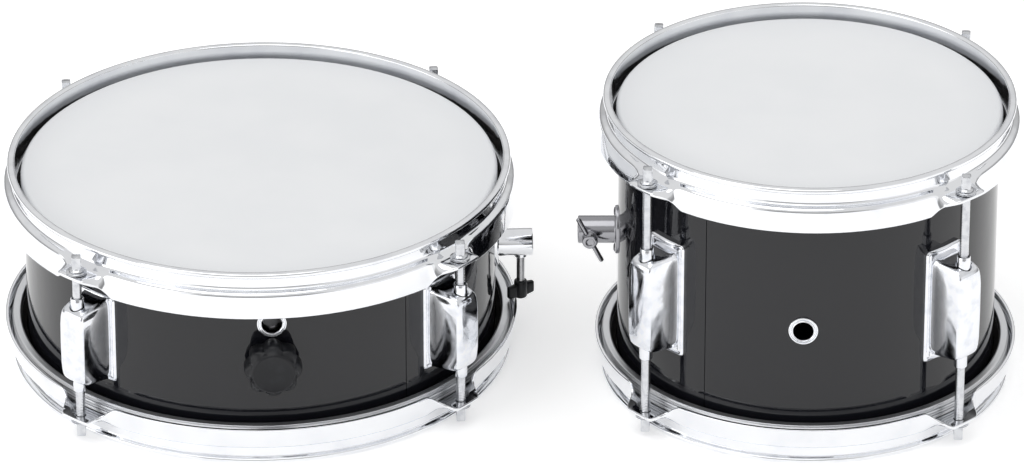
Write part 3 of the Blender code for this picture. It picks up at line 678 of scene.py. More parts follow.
def make_head(drum, upper):
    outer = film_profile(drum, FILM_THICK, COLLAR_OUT)
    inner = film_profile(drum, 0.0, COLLAR_IN)
    line = outer + inner[::-1]
    if not upper:
        line = [(r, drum.height - z) for r, z in line]
    side = "batter" if upper else "bottom"
    bm = turned_solid(line, 128)
    return finished(drum.name + "_" + side + "_head", bm, FILM[drum.name], drum.name,
                    [drum.name + "_" + side + "_film"], drum.place)


heads = [make_head(drum, upper) for drum in (snare, tom) for upper in (True, False)]
print("made", len(heads), "heads")

# %% [markdown]
# ## Geometry Nodes for pieces that follow a rule
# Rings, threads and snare wires each follow a simple rule, so their sizes belong
# in named inputs of a node tree. `Rule` builds such a tree, sets the inputs by
# their socket identifiers, evaluates the object once and keeps the result as a
# plain mesh.

# %% Trees with named sizes
class Rule(Net):
    """A Geometry Nodes tree that makes one kind of piece."""

    def __init__(self, name, lengths=(), counts=()):
        super().__init__(bpy.data.node_groups.new(name, "GeometryNodeTree"))
        face = self.tree.interface
        self.sockets = {}
        for label in lengths:
            self.sockets[label] = face.new_socket(
                name=label, in_out="INPUT", socket_type="NodeSocketFloat",
            )
        for label in counts:
            self.sockets[label] = face.new_socket(
                name=label, in_out="INPUT", socket_type="NodeSocketInt",
            )
        face.new_socket(name="Geometry", in_out="OUTPUT", socket_type="NodeSocketGeometry")
        made = self.tree.nodes.new("NodeGroupInput")
        for position, label in enumerate(list(lengths) + list(counts)):
            setattr(self, label.lower().replace(" ", "_"), Tap(self, made.outputs[position]))

    def end(self, geometry, look):
        """Realize instances, set the material and send the geometry out."""
        real = self.node("GeometryNodeRealizeInstances", None, {"Geometry": geometry})
        dressed = self.node("GeometryNodeSetMaterial", None, {"Geometry": real, "Material": look})
        self.node("NodeGroupOutput", None, {"Geometry": dressed}, None)

    def node(self, kind, settings=None, sockets=None, out=0):
        if out is None:
            made = self.tree.nodes.new(kind)
            for key, value in sockets.items():
                self.tree.links.new(value.socket, made.inputs[key])
            return None
        return super().node(kind, settings, sockets, out)

    def fill(self, socket, value):
        if not isinstance(value, Tap) and socket.type == "VECTOR" and not isinstance(value, tuple):
            value = (value, value, value)
        if isinstance(value, tuple) and not isinstance(value, Tap):
            socket.default_value = value
        else:
            super().fill(socket, value)

    def join_xyz(self, x=0.0, y=0.0, z=0.0):
        return self.node("ShaderNodeCombineXYZ", None, {"X": x, "Y": y, "Z": z})

    def mesh(self, sizes):
        """The plain mesh that the tree makes for these sizes."""
        holder = bpy.data.objects.new("holder", bpy.data.meshes.new("holder"))
        bpy.context.collection.objects.link(holder)
        step = holder.modifiers.new("rule", "NODES")
        step.node_group = self.tree
        for label, value in sizes.items():
            step[self.sockets[label].identifier] = value
        graph = bpy.context.evaluated_depsgraph_get()
        result = bpy.data.meshes.new_from_object(holder.evaluated_get(graph))
        bpy.data.objects.remove(holder, do_unlink=True)
        return result


print("rule helper ready")

# %% [markdown]
# ## The rings that grip the heads
# A head's film is clamped in a rolled aluminium ring, which the hoop pushes down.
# It is a rounded strip swept around a circle: Curve to Mesh with a filleted
# rectangle as its profile. Its outer face carries rolled grooves, which show in
# the gaps of the lower hoops.

# %% Aluminium rings
RING_IN = 3.4 * MM
RING_OUT = 8.2 * MM


def ring_rule():
    rule = Rule("ring_rule", ["Radius", "Wide", "Tall", "Corner", "Groove"])
    path = rule.node(
        "GeometryNodeCurvePrimitiveCircle", None, {"Radius": rule.radius, "Resolution": 192},
    )
    strip = rule.node(
        "GeometryNodeCurvePrimitiveQuadrilateral", None,
        {"Width": rule.wide, "Height": rule.tall},
    )
    soft = rule.node(
        "GeometryNodeFilletCurve", {"mode": "POLY"},
        {"Curve": strip, "Count": 3, "Radius": rule.corner},
    )
    fine = rule.node("GeometryNodeResampleCurve", None, {"Curve": soft, "Count": 96})
    swept = rule.node("GeometryNodeCurveToMesh", None, {"Curve": path, "Profile Curve": fine})
    place = rule.node("GeometryNodeInputPosition")
    x, y, z = [rule.node("ShaderNodeSeparateXYZ", None, {0: place}, k) for k in range(3)]
    reach = (x * x + y * y).math("SQRT")
    outside = (reach - rule.radius).ramp(rule.wide * 0.30, rule.wide * 0.45)
    wave = (z / rule.tall * (2.0 * math.pi * 5.0)).math("COSINE") * 0.5 + 0.5
    share = 1.0 - outside * wave * rule.groove / reach
    moved = rule.join_xyz(x * share, y * share, z)
    shaped = rule.node("GeometryNodeSetPosition", None, {"Geometry": swept, "Position": moved})
    # groove mark for the finish: dark lacquer and painted shade in the groove bottoms
    deep = outside * wave.ramp(0.10, 0.60)
    marked = rule.node(
        "GeometryNodeStoreNamedAttribute", None,
        {"Geometry": shaped, "Name": "groove", "Value": deep},
    )
    rule.end(marked, ALUMINIUM)
    return rule


def make_ring(drum, upper, rule):
    low = drum.height - SEAT_DEPTH - GAP - RING_HEIGHT
    middle = low + 0.5 * RING_HEIGHT
    if not upper:
        middle = drum.height - middle
    sizes = {
        "Radius": drum.radius + 0.5 * (RING_IN + RING_OUT), "Wide": RING_OUT - RING_IN,
        "Tall": RING_HEIGHT, "Corner": 1.0 * MM, "Groove": 1.1 * MM,
    }
    mesh = rule.mesh(sizes)
    mesh.transform(drum.place @ Matrix.Translation((0.0, 0.0, middle)))
    side = "batter" if upper else "bottom"
    return shown(drum.name + "_" + side + "_carrier", mesh, None, drum.name,
                 [drum.name + "_" + side + "_ring"], 40.0)


RING_RULE = ring_rule()
carriers = [make_ring(drum, upper, RING_RULE) for drum in (snare, tom) for upper in (True, False)]
print(
    "ring box", [round(v / MM, 1) for v in carriers[0].bound_box[0]],
    [round(v / MM, 1) for v in carriers[0].bound_box[6]],
)

# %% [markdown]
# ## Pressed hoops
# This is the piece that takes the most skill to press, and to model. One strip of
# steel is rolled into a bead at the rim, stands as a wall, steps out over the
# ring, and ends in a skirt. At four places the skirt is drawn outward until it
# lies flat and carries a rod. So the section isn't constant: the skirt gets
# shorter and swings about the edge of the step by an amount that depends on the
# place around the drum. `hoop_section` gives the section for any share of the ear,
# and the mesh runs through some 330 such sections, close together at the ears.

# %% The hoop's section
STEP_OUT = 10.6 * MM
STEP_DEPTH = 10.8 * MM
SKIRT_OUT = 12.0 * MM
SKIRT_DEPTH = {
    ("snare", True): 24.4 * MM, ("tom", True): 23.4 * MM, ("snare", False): 22.2 * MM,
    ("tom", False): 22.2 * MM,
}
SHEET = 1.8 * MM
EAR_OUT = 21.5 * MM
EAR_DEPTH = 13.2 * MM
EAR_PAD = 7.5 * MM
EAR_END = 21.0 * MM
ROD_OUT = 16.0 * MM
HOOP_RADII = [v * MM for v in (1.0, 1.3, 1.1, 0.5, 1.2, 1.7, 0.6, 0.6, 1.0, 0.8)]


def hoop_section(drum, ear, upper=True):
    """Outline of the pressed sheet, as distance from the axis and height."""
    deep = SKIRT_DEPTH[drum.name, upper]
    step_depth = STEP_DEPTH + (EAR_DEPTH - STEP_DEPTH) * ear
    skirt_out = SKIRT_OUT + (EAR_OUT - SKIRT_OUT) * ear ** 2.0
    skirt_depth = deep + (EAR_DEPTH - deep) * ear
    angle = math.atan2(skirt_depth - step_depth, skirt_out - STEP_OUT)
    corners = [
        (4.4 * MM, 0.0), (8.4 * MM, 0.0), (8.4 * MM, 2.6 * MM), (5.9 * MM, 3.2 * MM),
        (6.4 * MM, 9.4 * MM), (STEP_OUT, step_depth), (skirt_out, skirt_depth),
        (skirt_out - SHEET * math.sin(angle), skirt_depth + SHEET * math.cos(angle)),
        (9.2 * MM, SEAT_DEPTH), (4.4 * MM, SEAT_DEPTH),
    ]
    outline = rounded([(o, d, 0.0) for o, d in corners], HOOP_RADII)
    return [(drum.radius + p.x, drum.height - p.y) for p in outline]


def hoop_stations(drum):
    """Angles around the hoop with the share of the ear at each of them."""
    rod_radius = drum.radius + ROD_OUT
    end = math.degrees(EAR_END / rod_radius)
    stations = []
    for centre in ROD_ANGLES:
        for k in range(-26, 27):
            along = EAR_END * k / 26
            share = min(1.0, max(0.0, (EAR_END - abs(along)) / (EAR_END - EAR_PAD)))
            ear = share * share * (3.0 - 2.0 * share)
            stations.append(((centre + math.degrees(along / rod_radius)) % 360.0, ear))
    for k in range(120):
        angle = 3.0 * k
        away = min(abs((angle - c + 180.0) % 360.0 - 180.0) for c in ROD_ANGLES)
        if away > end + 1.0:
            stations.append((angle, 0.0))
    return sorted(stations)


print("hoop stations", len(hoop_stations(snare)), "points in a section", len(hoop_section(snare, 0.0)))

# %% The four hoops
def make_hoop(drum, upper):
    sections = []
    for angle, ear in hoop_stations(drum):
        a = math.radians(angle)
        outline = hoop_section(drum, ear, upper)
        if not upper:
            outline = [(r, drum.height - z) for r, z in outline]
        sections.append([Vector((r * math.sin(a), -r * math.cos(a), z)) for r, z in outline])
    side = "top" if upper else "bottom"
    name = drum.name + "_" + side
    hoop = finished(name + "_pressed_hoop", band(sections), CHROME, drum.name,
                    [name + "_hoop"], drum.place, 60.0)
    hole = EAR_DEPTH + 0.5 * SHEET
    z = drum.height - hole if upper else hole
    for angle in ROD_ANGLES:
        a = math.radians(angle)
        r = drum.radius + ROD_OUT
        centre = (r * math.sin(a), -r * math.cos(a))
        cut(
            hoop,
            stack([
                circle(2.9 * MM, z - 4.0 * MM, 24, centre),
                circle(2.9 * MM, z + 4.0 * MM, 24, centre),
            ]),
            drum.place,
        )
    hoop.data.set_sharp_from_angle(angle=math.radians(60.0))
    return hoop


hoops = [make_hoop(drum, upper) for drum in (snare, tom) for upper in (True, False)]
print("hoop faces", [len(hoop.data.polygons) for hoop in hoops])

# %% [markdown]
# ## Lugs
# A lug is a zinc casting: a thin plate with a raised border on the shell, and a
# narrower casing whose front is slightly arched and falls away at both ends. In
# each sloping end sits a swivel nut in a round recess. Plate and casing are piles
# of outlines, the recess is cut, and the neck of the nut is turned. One lug is
# made for each drum and its mesh is set at four places.

# %% Foot plate and casing
PLATE_HALF = 12.6 * MM


def lug_plate(drum, bm):
    """Foot plate that follows the shell, with a double bead along its border."""
    border = [
        (0.0, -0.5), (0.0, 1.7), (0.5, 2.4), (1.0, 2.6), (1.5, 2.4), (1.9, 1.9), (2.3, 1.9),
        (2.8, 2.2), (3.5, 2.2),
    ]
    levels = []
    for inset, high in border:
        x = PLATE_HALF - inset * MM
        y = drum.lug_plate - inset * MM
        corner = max(2.4 - inset * 0.6, 0.4) * MM
        outline = rounded([(x, y, 0), (0, y, 0), (-x, y, 0), (-x, -y, 0), (0, -y, 0), (x, -y, 0)],
                          [corner, 0.1 * MM, corner, corner, 0.1 * MM, corner])
        levels.append([Vector((
            p.x, p.y, math.sqrt(drum.radius ** 2 - p.x ** 2) + high * MM,
        )) for p in outline])
    return stack(levels, bm)


def lug_casing(drum, bm):
    """Casing with an arched front, bowed sides and round shoulders."""
    nose = drum.lug_case / MM
    levels = [
        (0.0, 22.5, 8.2, 9.9), (nose - 9.0, 22.4, 8.1, 9.9), (nose - 4.5, 22.2, 7.8, 9.8),
        (nose - 2.0, 21.9, 7.4, 9.7), (nose - 0.8, 21.5, 7.2, 9.6), (nose + 0.1, 20.9, 7.0, 9.5),
        (nose + 0.8, 20.2, 6.8, 9.3), (nose + 1.4, 19.2, 6.6, 9.1), (nose + 1.9, 17.9, 6.5, 8.9),
        (nose + 2.4, 15.8, 6.4, 8.7), (nose + 2.9, 12.4, 6.5, 8.4), (nose + 3.3, 8.4, 6.8, 8.2),
        (nose + 3.7, 4.4, 7.2, 8.0),
    ]
    levels = [(-y, front, half, foot) for y, front, half, foot in reversed(levels)] + levels[1:]
    rows = []
    for y, front, half, foot in levels:
        near = (22.5 - front) / 22.5
        corners = [
            (foot, 1.6), (foot - 0.5, min(4.4, front - 1.5)), (half + 0.1, front - 0.9 - near),
            (0.72 * half, front - 0.3), (0.35 * half, front - 0.06),
        ]
        corners += [(0.0, front)] + [(-x, o) for x, o in reversed(corners)]
        turn = 2.7 + 8.0 * near
        radii = [0.1, 1.4, turn, 1.6, 1.5, 1.5, 1.5, 1.6, turn, 1.4, 0.1]
        outline = rounded([(x, o, 0.0) for x, o in corners], radii, 5)
        rows.append([Vector((p.x * MM, y * MM, drum.radius + p.y * MM)) for p in outline])
    return stack(rows, bm)


print("casings stand", 22.5, "mm out of the shell")

# %% A whole lug at four places
def lug_neck(drum, side, bm):
    """Neck of the swivel nut, a short tube around the rod."""
    start = drum.lug_case - 2.0 * MM
    end = drum.lug_nut
    profile = [(3.6, end - 0.4 * MM), (3.35, end), (2.85, end), (2.85, start), (3.6, start)]
    neck = turned_ring([(r * MM, z) for r, z in profile], 32)
    lying = Matrix.Rotation(-side * math.pi / 2.0, 4, "X")
    neck.transform(Matrix.Translation((0.0, 0.0, drum.radius + ROD_OUT)) @ lying)
    mesh = bpy.data.meshes.new("neck")
    neck.to_mesh(mesh)
    neck.free()
    bm.from_mesh(mesh)


def make_lugs(drum):
    casing = bmesh.new()
    lug_casing(drum, casing)
    lug = finished(
        drum.name + "_cast_lug_1", casing, CAST, drum.name, [drum.name + "_lug_1"],
        None, 32.0,
    )
    for side in (-1.0, 1.0):
        start = drum.lug_case - 0.6 * MM
        pocket = turned_solid([(4.35 * MM, start), (4.35 * MM, start + 12.0 * MM)], 48)
        out = Matrix.Translation((0.0, 0.0, drum.radius + ROD_OUT))
        cut(lug, pocket, out @ Matrix.Rotation(-side * math.pi / 2.0, 4, "X"))
    bm = bmesh.new()
    bm.from_mesh(lug.data)
    lug_plate(drum, bm)
    for side in (-1.0, 1.0):
        lug_neck(drum, side, bm)
    bmesh.ops.recalc_face_normals(bm, faces=bm.faces)
    whole = bpy.data.meshes.new("lug")
    bm.to_mesh(whole)
    bm.free()
    lugs = [lug]
    for number in (2, 3, 4):
        name = drum.name + "_cast_lug_" + str(number)
        lugs.append(shown(
            name, whole.copy(), CAST, drum.name, [drum.name + "_lug_" + str(number)],
            32.0,
        ))
    lug.data = whole
    for obj, angle in zip(lugs, ROD_ANGLES):
        obj.data.transform(drum.facing(angle, drum.lug_middle))
        obj.data.name = obj.name
        if obj is lug:
            obj.data.materials.clear()
            obj.data.materials.append(CAST)
            obj.data.shade_smooth()
            obj.data.set_sharp_from_angle(angle=math.radians(32.0))
    return lugs


lugs = make_lugs(snare) + make_lugs(tom)
print("made", len(lugs), "lugs of", len(lugs[0].data.polygons), "faces")

# %% [markdown]
# ## Tension rods
# Sixteen rods draw the hoops together. A rod has a square head for the drum key,
# a flange, a loose washer and a long thread. The thread is a rule: the radius of
# a cylinder goes up and down with height and angle together. Geometry Nodes make
# it with one Set Position. The head is turned and squared from listed levels,
# because its outline changes from round to square.

# %% A thread as a rule
def thread_rule():
    rule = Rule("thread_rule", ["Length", "Radius", "Depth", "Pitch"], ["Rows"])
    tube = rule.node("GeometryNodeMeshCylinder", {"fill_type": "NGON"}, {
        "Vertices": 16, "Side Segments": rule.rows, "Radius": rule.radius, "Depth": rule.length})
    place = rule.node("GeometryNodeInputPosition")
    x, y, z = [rule.node("ShaderNodeSeparateXYZ", None, {0: place}, k) for k in range(3)]
    turn = y.math("ARCTAN2", x) / (2.0 * math.pi)
    wave = ((z / rule.pitch + turn) * (2.0 * math.pi)).math("COSINE")
    share = 1.0 - (wave * -0.5 + 0.5) * (rule.depth / rule.radius)
    moved = rule.join_xyz(x * share, y * share, z)
    rule.end(rule.node("GeometryNodeSetPosition", None, {"Geometry": tube, "Position": moved}), ZINC)
    return rule


THREAD_RULE = thread_rule()
THREAD_PITCH = 0.95 * MM


def thread(length, radius):
    """Mesh of a threaded bar that hangs down from z = 0."""
    rows = max(8, round(length / THREAD_PITCH * 5))
    mesh = THREAD_RULE.mesh({
        "Length": length, "Radius": radius, "Depth": 0.10 * MM, "Pitch": THREAD_PITCH,
        "Rows": rows,
    })
    mesh.transform(Matrix.Translation((0.0, 0.0, -0.5 * length)))
    return mesh


print("a thread of 30 mm has", len(thread(30.0 * MM, 2.5 * MM).polygons), "faces")

# %% Heads, washers and the sixteen rods
def squared(half, z, square):
    """Outline between a circle and a square with soft corners."""
    points = []
    for k in range(48):
        a = 2.0 * math.pi * (k + 0.5) / 48
        c, s = math.cos(a), math.sin(a)
        p, q = (c - s) * math.sqrt(0.5), (c + s) * math.sqrt(0.5)
        flat = half / (abs(p) ** 9 + abs(q) ** 9) ** (1.0 / 9.0)
        r = half + (flat - half) * square
        points.append(Vector((r * c, r * s, z)))
    return points


def rod_mesh(length):
    """Washer and square head above z = 0, thread below."""
    bm = bmesh.new()
    for low in (0.3, 1.05):
        washer = [
            (2.75, low), (5.1, low), (5.4, low + 0.18), (5.4, low + 0.42), (5.1, low + 0.6),
            (2.75, low + 0.6),
        ]
        turned_ring([(r * MM, z * MM) for r, z in washer], 48, bm)
    head = [(2.3, 0.2, 0), (3.6, 1.68, 0), (4.1, 1.85, 0), (4.1, 2.35, 0), (3.7, 2.75, 0), (2.7, 3.15, 0.6),
            (2.5, 3.7, 1), (2.5, 9.7, 1), (2.35, 10.2, 1), (1.9, 10.45, 0.8)]
    stack([squared(half * MM, z * MM, square) for half, z, square in head], bm)
    bm.from_mesh(thread(length, 2.5 * MM))
    bmesh.ops.recalc_face_normals(bm, faces=bm.faces)
    return bm


def make_rods(drum):
    rods = []
    for number, angle in enumerate(ROD_ANGLES, 1):
        for upper in (True, False):
            sign = 1.0 if upper else -1.0
            nut_end = drum.lug_middle + sign * drum.lug_nut
            seat = drum.height - EAR_DEPTH if upper else EAR_DEPTH
            length = abs(seat - nut_end) + 17.0 * MM
            bm = rod_mesh(length)
            if not upper:
                bm.transform(Matrix.Rotation(math.pi, 4, "X"))
            stand = drum.facing(angle, seat) @ Matrix.Translation((0.0, 0.0, drum.radius + ROD_OUT))
            bm.transform(stand @ Matrix.Rotation(-math.pi / 2.0, 4, "X"))
            node = drum.name + ("_top_rod_" if upper else "_bottom_rod_") + str(number)
            rods.append(finished(
                node + "_threaded", bm, ZINC, node, [node], None, 40.0, False,
            ))
    return rods


rods = make_rods(snare) + make_rods(tom)
print("made", len(rods), "rods")

# %% [markdown]
# ## Vents
# Each shell has an air vent, a chromed eyelet whose flange is rolled over twice so
# that it shows two rings. It is a plain turned form with a finely drawn profile.
# Its flange is bent to the shell by moving each point in by the depth of the arc.

# %% Vent eyelets
def follow_shell(bm, drum):
    """Bend a fitting made on a flat ground onto the shell."""
    for vert in bm.verts:
        vert.co.z += math.sqrt(drum.radius ** 2 - vert.co.x ** 2) - drum.radius


def make_vent(drum, z):
    out = drum.radius
    profile = [
        (7.9, 0.1), (7.88, 0.7), (7.65, 1.1), (7.3, 1.15), (7.05, 0.85), (6.9, 0.3), (6.45, 0.3), (6.3, 0.9),
        (6.1, 1.45), (5.8, 1.6), (5.5, 1.4), (5.3, 0.9), (5.3, -6.4), (5.6, -7.0), (6.4, -7.3),
        (7.2, -7.0), (7.3, -6.4), (6.1, -6.2), (6.0, -0.3),
    ]
    bm = turned_ring([(r * MM, out + o * MM) for r, o in profile], 72)
    follow_shell(bm, drum)
    return finished(drum.name + "_vent_eyelet", bm, CHROME, drum.name,
                    [drum.name + "_vent_grommet"], drum.facing(0.0, z), 50.0)


vents = [make_vent(snare, SNARE_VENT_Z), make_vent(tom, TOM_VENT_Z)]
print("vent box", [round(v, 4) for v in vents[0].bound_box[0]])

# %% [markdown]
# ## Rod brackets
# A bracket is a plate on the shell with a round socket for the holding rod and a
# boss for the clamp screw. Plate, socket and boss are separate closed forms in
# one mesh, as they are separate turned and pressed parts that were brazed
# together. The plate is an oval with two screw heads and follows the shell.

# %% Plate, socket and boss
def bracket_plate(thick, bm):
    """Oval plate with a softly rolled border."""
    levels = []
    for inset, high in ((0.0, -0.6), (0.0, thick - 0.7), (0.25, thick - 0.2), (0.9, thick)):
        levels.append([Vector(((9.5 - inset) * math.cos(a), (14.0 - inset) * math.sin(a), high)) * MM
                       for a in (2.0 * math.pi * k / 72 for k in range(72))])
    return stack(levels, bm)


def pan_screw(x, y, z, bm):
    """Low round screw head."""
    profile = [(2.3, -0.4), (2.3, 0.15), (2.0, 0.45), (1.3, 0.65), (0.4, 0.7)]
    head = turned_solid([(r * MM, (z + o) * MM) for r, o in profile], 28)
    head.transform(Matrix.Translation((x * MM, y * MM, 0.0)))
    mesh = bpy.data.meshes.new("screw")
    head.to_mesh(mesh)
    head.free()
    bm.from_mesh(mesh)


def make_bracket(drum, angle, z, reach, screw_turn, screw_out, look, slot):
    bm = bmesh.new()
    bracket_plate(1.6, bm)
    for y in (-11.0, 11.0):
        pan_screw(0.0, y, 1.6, bm)
    tube = [
        (5.3, reach), (6.6, reach), (7.25, reach - 0.25), (7.5, reach - 0.8), (7.5, 2.2),
        (7.7, 1.7), (7.9, 1.4), (7.0, 1.2), (7.0, -8.0), (5.3, -8.0),
    ]
    turned_ring([(r * MM, o * MM) for r, o in tube], 64, bm)
    for vert in bm.verts:
        vert.co.z += drum.radius
        if vert.co.z < drum.radius + 3.4 * MM:
            vert.co.z += math.sqrt(drum.radius ** 2 - vert.co.x ** 2) - drum.radius
    boss = turned_ring([(r * MM, o * MM) for r, o in
                        [(2.6, 4.5), (3.6, 4.5), (3.6, 8.2), (3.2, 8.7), (2.6, 8.8)]], 40)
    boss.transform(Matrix.Translation((0.0, 0.0, drum.radius + screw_out)) @ screw_turn)
    mesh = bpy.data.meshes.new("boss")
    boss.to_mesh(mesh)
    boss.free()
    bm.from_mesh(mesh)
    return finished(drum.name + "_socket_bracket", bm, look, drum.name,
                    [drum.name + "_rod_bracket"], drum.facing(angle, z), 38.0)


DOWN = Matrix.Rotation(math.pi / 2.0, 4, "X")
FRONT = Matrix.Rotation(math.pi / 2.0, 4, "Y")
make_bracket(snare, *SNARE_BRACKET, 20.5, DOWN, 13.9 * MM, CHROME, "chrome")
make_bracket(tom, *TOM_BRACKET, 21.5, FRONT, 15.0 * MM, NICKEL, "steel")
print("made two brackets")

# %% [markdown]
# ## Clamp screws
# The snare drum's rod is clamped from below by a screw with a black wing knob, the
# tom's from the front by a screw with a cross bar. The wings start as simple
# slabs on the hub. A rounded bevel in four segments gives them the soft edges
# of a moulding.

# %% Screw and wing knob of the snare drum
def as_mesh(bm):
    mesh = bpy.data.meshes.new("part")
    bm.to_mesh(mesh)
    bm.free()
    return mesh


def soft_box(corners_low, corners_high, soften, cuts=2):
    """Slab through two outlines with bevelled edges."""
    bm = stack([[Vector(p) * MM for p in corners_low], [Vector(p) * MM for p in corners_high]])
    bmesh.ops.recalc_face_normals(bm, faces=bm.faces)
    bmesh.ops.bevel(
        bm, geom=list(bm.edges), offset=soften * MM, segments=cuts + 1, affect="EDGES",
        profile=0.5,
    )
    return bm


WING_TURN = 59.0
clamp_frame = snare.facing(*SNARE_BRACKET) @ Matrix.Translation((0.0, 0.0, snare.radius + 13.9 * MM)) @ DOWN


def make_wing_screw():
    bm = bmesh.new()
    post = thread(26.0 * MM, 2.2 * MM)
    post.transform(Matrix.Rotation(math.pi, 4, "X"))
    post.transform(Matrix.Translation((0.0, 0.0, 5.0 * MM)))
    bm.from_mesh(post)
    finished(
        "snare_clamp_thread", bm, STEEL, "snare_clamp", ["snare_clamp_screw"],
        clamp_frame, 40.0,
    )
    hub = [
        (2.3, 23.6), (3.0, 23.6), (3.4, 23.85), (3.6, 24.6), (3.6, 32.6), (3.4, 33.3),
        (3.0, 33.6), (1.2, 33.6),
    ]
    bm = turned_solid([(r * MM, z * MM) for r, z in hub], 56)
    for side in (-1.0, 1.0):
        near = [
            (side * 2.0, -1.7, 25.5), (side * 2.0, 1.7, 25.5), (side * 2.0, 1.7, 33.5),
            (side * 2.0, -1.7, 33.5),
        ]
        far = [
            (side * 8.3, -1.35, 26.2), (side * 8.3, 1.35, 26.2), (side * 8.3, 1.35, 32.8),
            (side * 8.3, -1.35, 32.8),
        ]
        wing = soft_box(near, far, 0.9, 3)
        wing.transform(Matrix.Rotation(math.radians(WING_TURN), 4, "Z"))
        bm.from_mesh(as_mesh(wing))
    return finished(
        "snare_wing_knob", bm, PLASTIC, "snare_clamp", ["snare_clamp_knob"],
        clamp_frame, 40.0,
    )


wing_knob = make_wing_screw()
print("wing knob faces", len(wing_knob.data.polygons))

# %% Screw and cross bar of the tom
T_BAR_TILT = 27.0
T_BAR_AT = 12.2 * MM
bar_frame = tom.facing(*TOM_BRACKET) @ Matrix.Translation((0.0, 0.0, tom.radius + 15.0 * MM)) @ FRONT


def make_bar_screw():
    bm = bmesh.new()
    post = thread(5.0 * MM, 2.2 * MM)
    post.transform(Matrix.Translation((0.0, 0.0, 9.8 * MM)))
    bm.from_mesh(post)
    head = [
        (2.2, 9.1), (3.4, 9.1), (3.9, 9.3), (4.2, 9.9), (4.2, 14.4), (3.9, 15.1), (3.2, 15.4),
        (2.4, 15.4), (2.1, 15.1), (1.0, 15.0),
    ]
    turned_solid([(r * MM, z * MM) for r, z in head], 48, bm)
    finished("tom_clamp_drum", bm, NICKEL, "tom_clamp", ["tom_clamp_screw"], bar_frame, 40.0)
    ends = [(0.5, -14.5), (1.0, -14.3), (1.3, -13.8), (1.3, 13.8), (1.0, 14.3), (0.5, 14.5)]
    bm = turned_solid([(r * MM, z * MM) for r, z in ends], 24)
    across = Matrix.Translation((0.0, 0.0, T_BAR_AT)) @ Matrix.Rotation(math.radians(T_BAR_TILT), 4, "Z")
    bm.transform(across @ Matrix.Rotation(math.pi / 2.0, 4, "X"))
    return finished(
        "tom_cross_bar", bm, NICKEL, "tom_clamp", ["tom_clamp_bar"], bar_frame, 40.0,
    )


cross_bar = make_bar_screw()
print("cross bar faces", len(cross_bar.data.polygons))

# %% [markdown]
# ## Strainer knob
# The knob that lifts the snares has eight round lobes for the fingers and a flat
# face that narrows toward the front. Its outline follows a cosine around the
# knob, so a pile of such outlines with soft steps at the edges makes it.

# %% Lobed knob
def make_strainer_knob():
    def lobed(lobe, valley, out):
        points = []
        for k in range(192):
            a = 2.0 * math.pi * k / 192
            wave = (0.5 + 0.5 * math.cos(8.0 * a)) ** 0.62
            r = (valley + (lobe - valley) * wave) * MM
            points.append(Vector((r * math.cos(a), r * math.sin(a), snare.radius + out * MM)))
        return points

    levels = [
        (13.9, 12.2, 2.6), (14.7, 12.9, 2.8), (15.3, 13.3, 3.5), (15.4, 13.4, 8.5), (15.2, 13.2, 11.2),
        (14.8, 12.9, 12.3), (14.2, 12.5, 12.9), (13.3, 12.2, 13.3), (12.3, 11.9, 14.2), (11.7, 11.5, 15.2),
        (11.2, 11.1, 15.8), (10.6, 10.6, 16.0), (10.1, 10.1, 15.9), (9.7, 9.7, 15.7), (0.4, 0.4, 15.7),
    ]
    bm = stack([lobed(*level) for level in levels])
    return finished("snare_lobed_knob", bm, PLASTIC, "snare_strainer_knob",
                    ["snare_knob"], snare.facing(0.0, KNOB_Z), 50.0)


strainer_knob = make_strainer_knob()
print("knob faces", len(strainer_knob.data.polygons))

# %% [markdown]
# ## Snare wires
# Ten coiled wires lie just under the upper head, soldered to a bar at each end.
# A coil is a helix swept with a small round profile, and ten of them stand side
# by side, so this is a piece for Geometry Nodes: Spiral, Curve to Mesh, and
# Instance on Points along a short line.

# %% Coiled wires
WIRE_COUNT = 10
WIRE_PITCH = 3.2 * MM
COMB_REACH = 80.0 * MM


def wire_rule():
    rule = Rule("wire_rule", ["Length", "Coil radius", "Wire radius", "Spacing", "Turns"], ["Count"])
    coil = rule.node("GeometryNodeCurveSpiral", None, {
        "Resolution": 8, "Rotations": rule.turns, "Start Radius": rule.coil_radius,
        "End Radius": rule.coil_radius, "Height": rule.length})
    wire = rule.node(
        "GeometryNodeCurvePrimitiveCircle", None,
        {"Radius": rule.wire_radius, "Resolution": 4},
    )
    swept = rule.node(
        "GeometryNodeCurveToMesh", None,
        {"Curve": coil, "Profile Curve": wire, "Fill Caps": True},
    )
    row = rule.node("GeometryNodeMeshLine", None, {
        "Count": rule.count, "Start Location": rule.join_xyz(rule.spacing * -0.5 * (WIRE_COUNT - 1)),
        "Offset": rule.join_xyz(rule.spacing)})
    many = rule.node("GeometryNodeInstanceOnPoints", None, {
        "Points": row, "Instance": swept, "Rotation": (math.radians(-90.0), 0.0, 0.0)})
    rule.end(many, STEEL)
    return rule


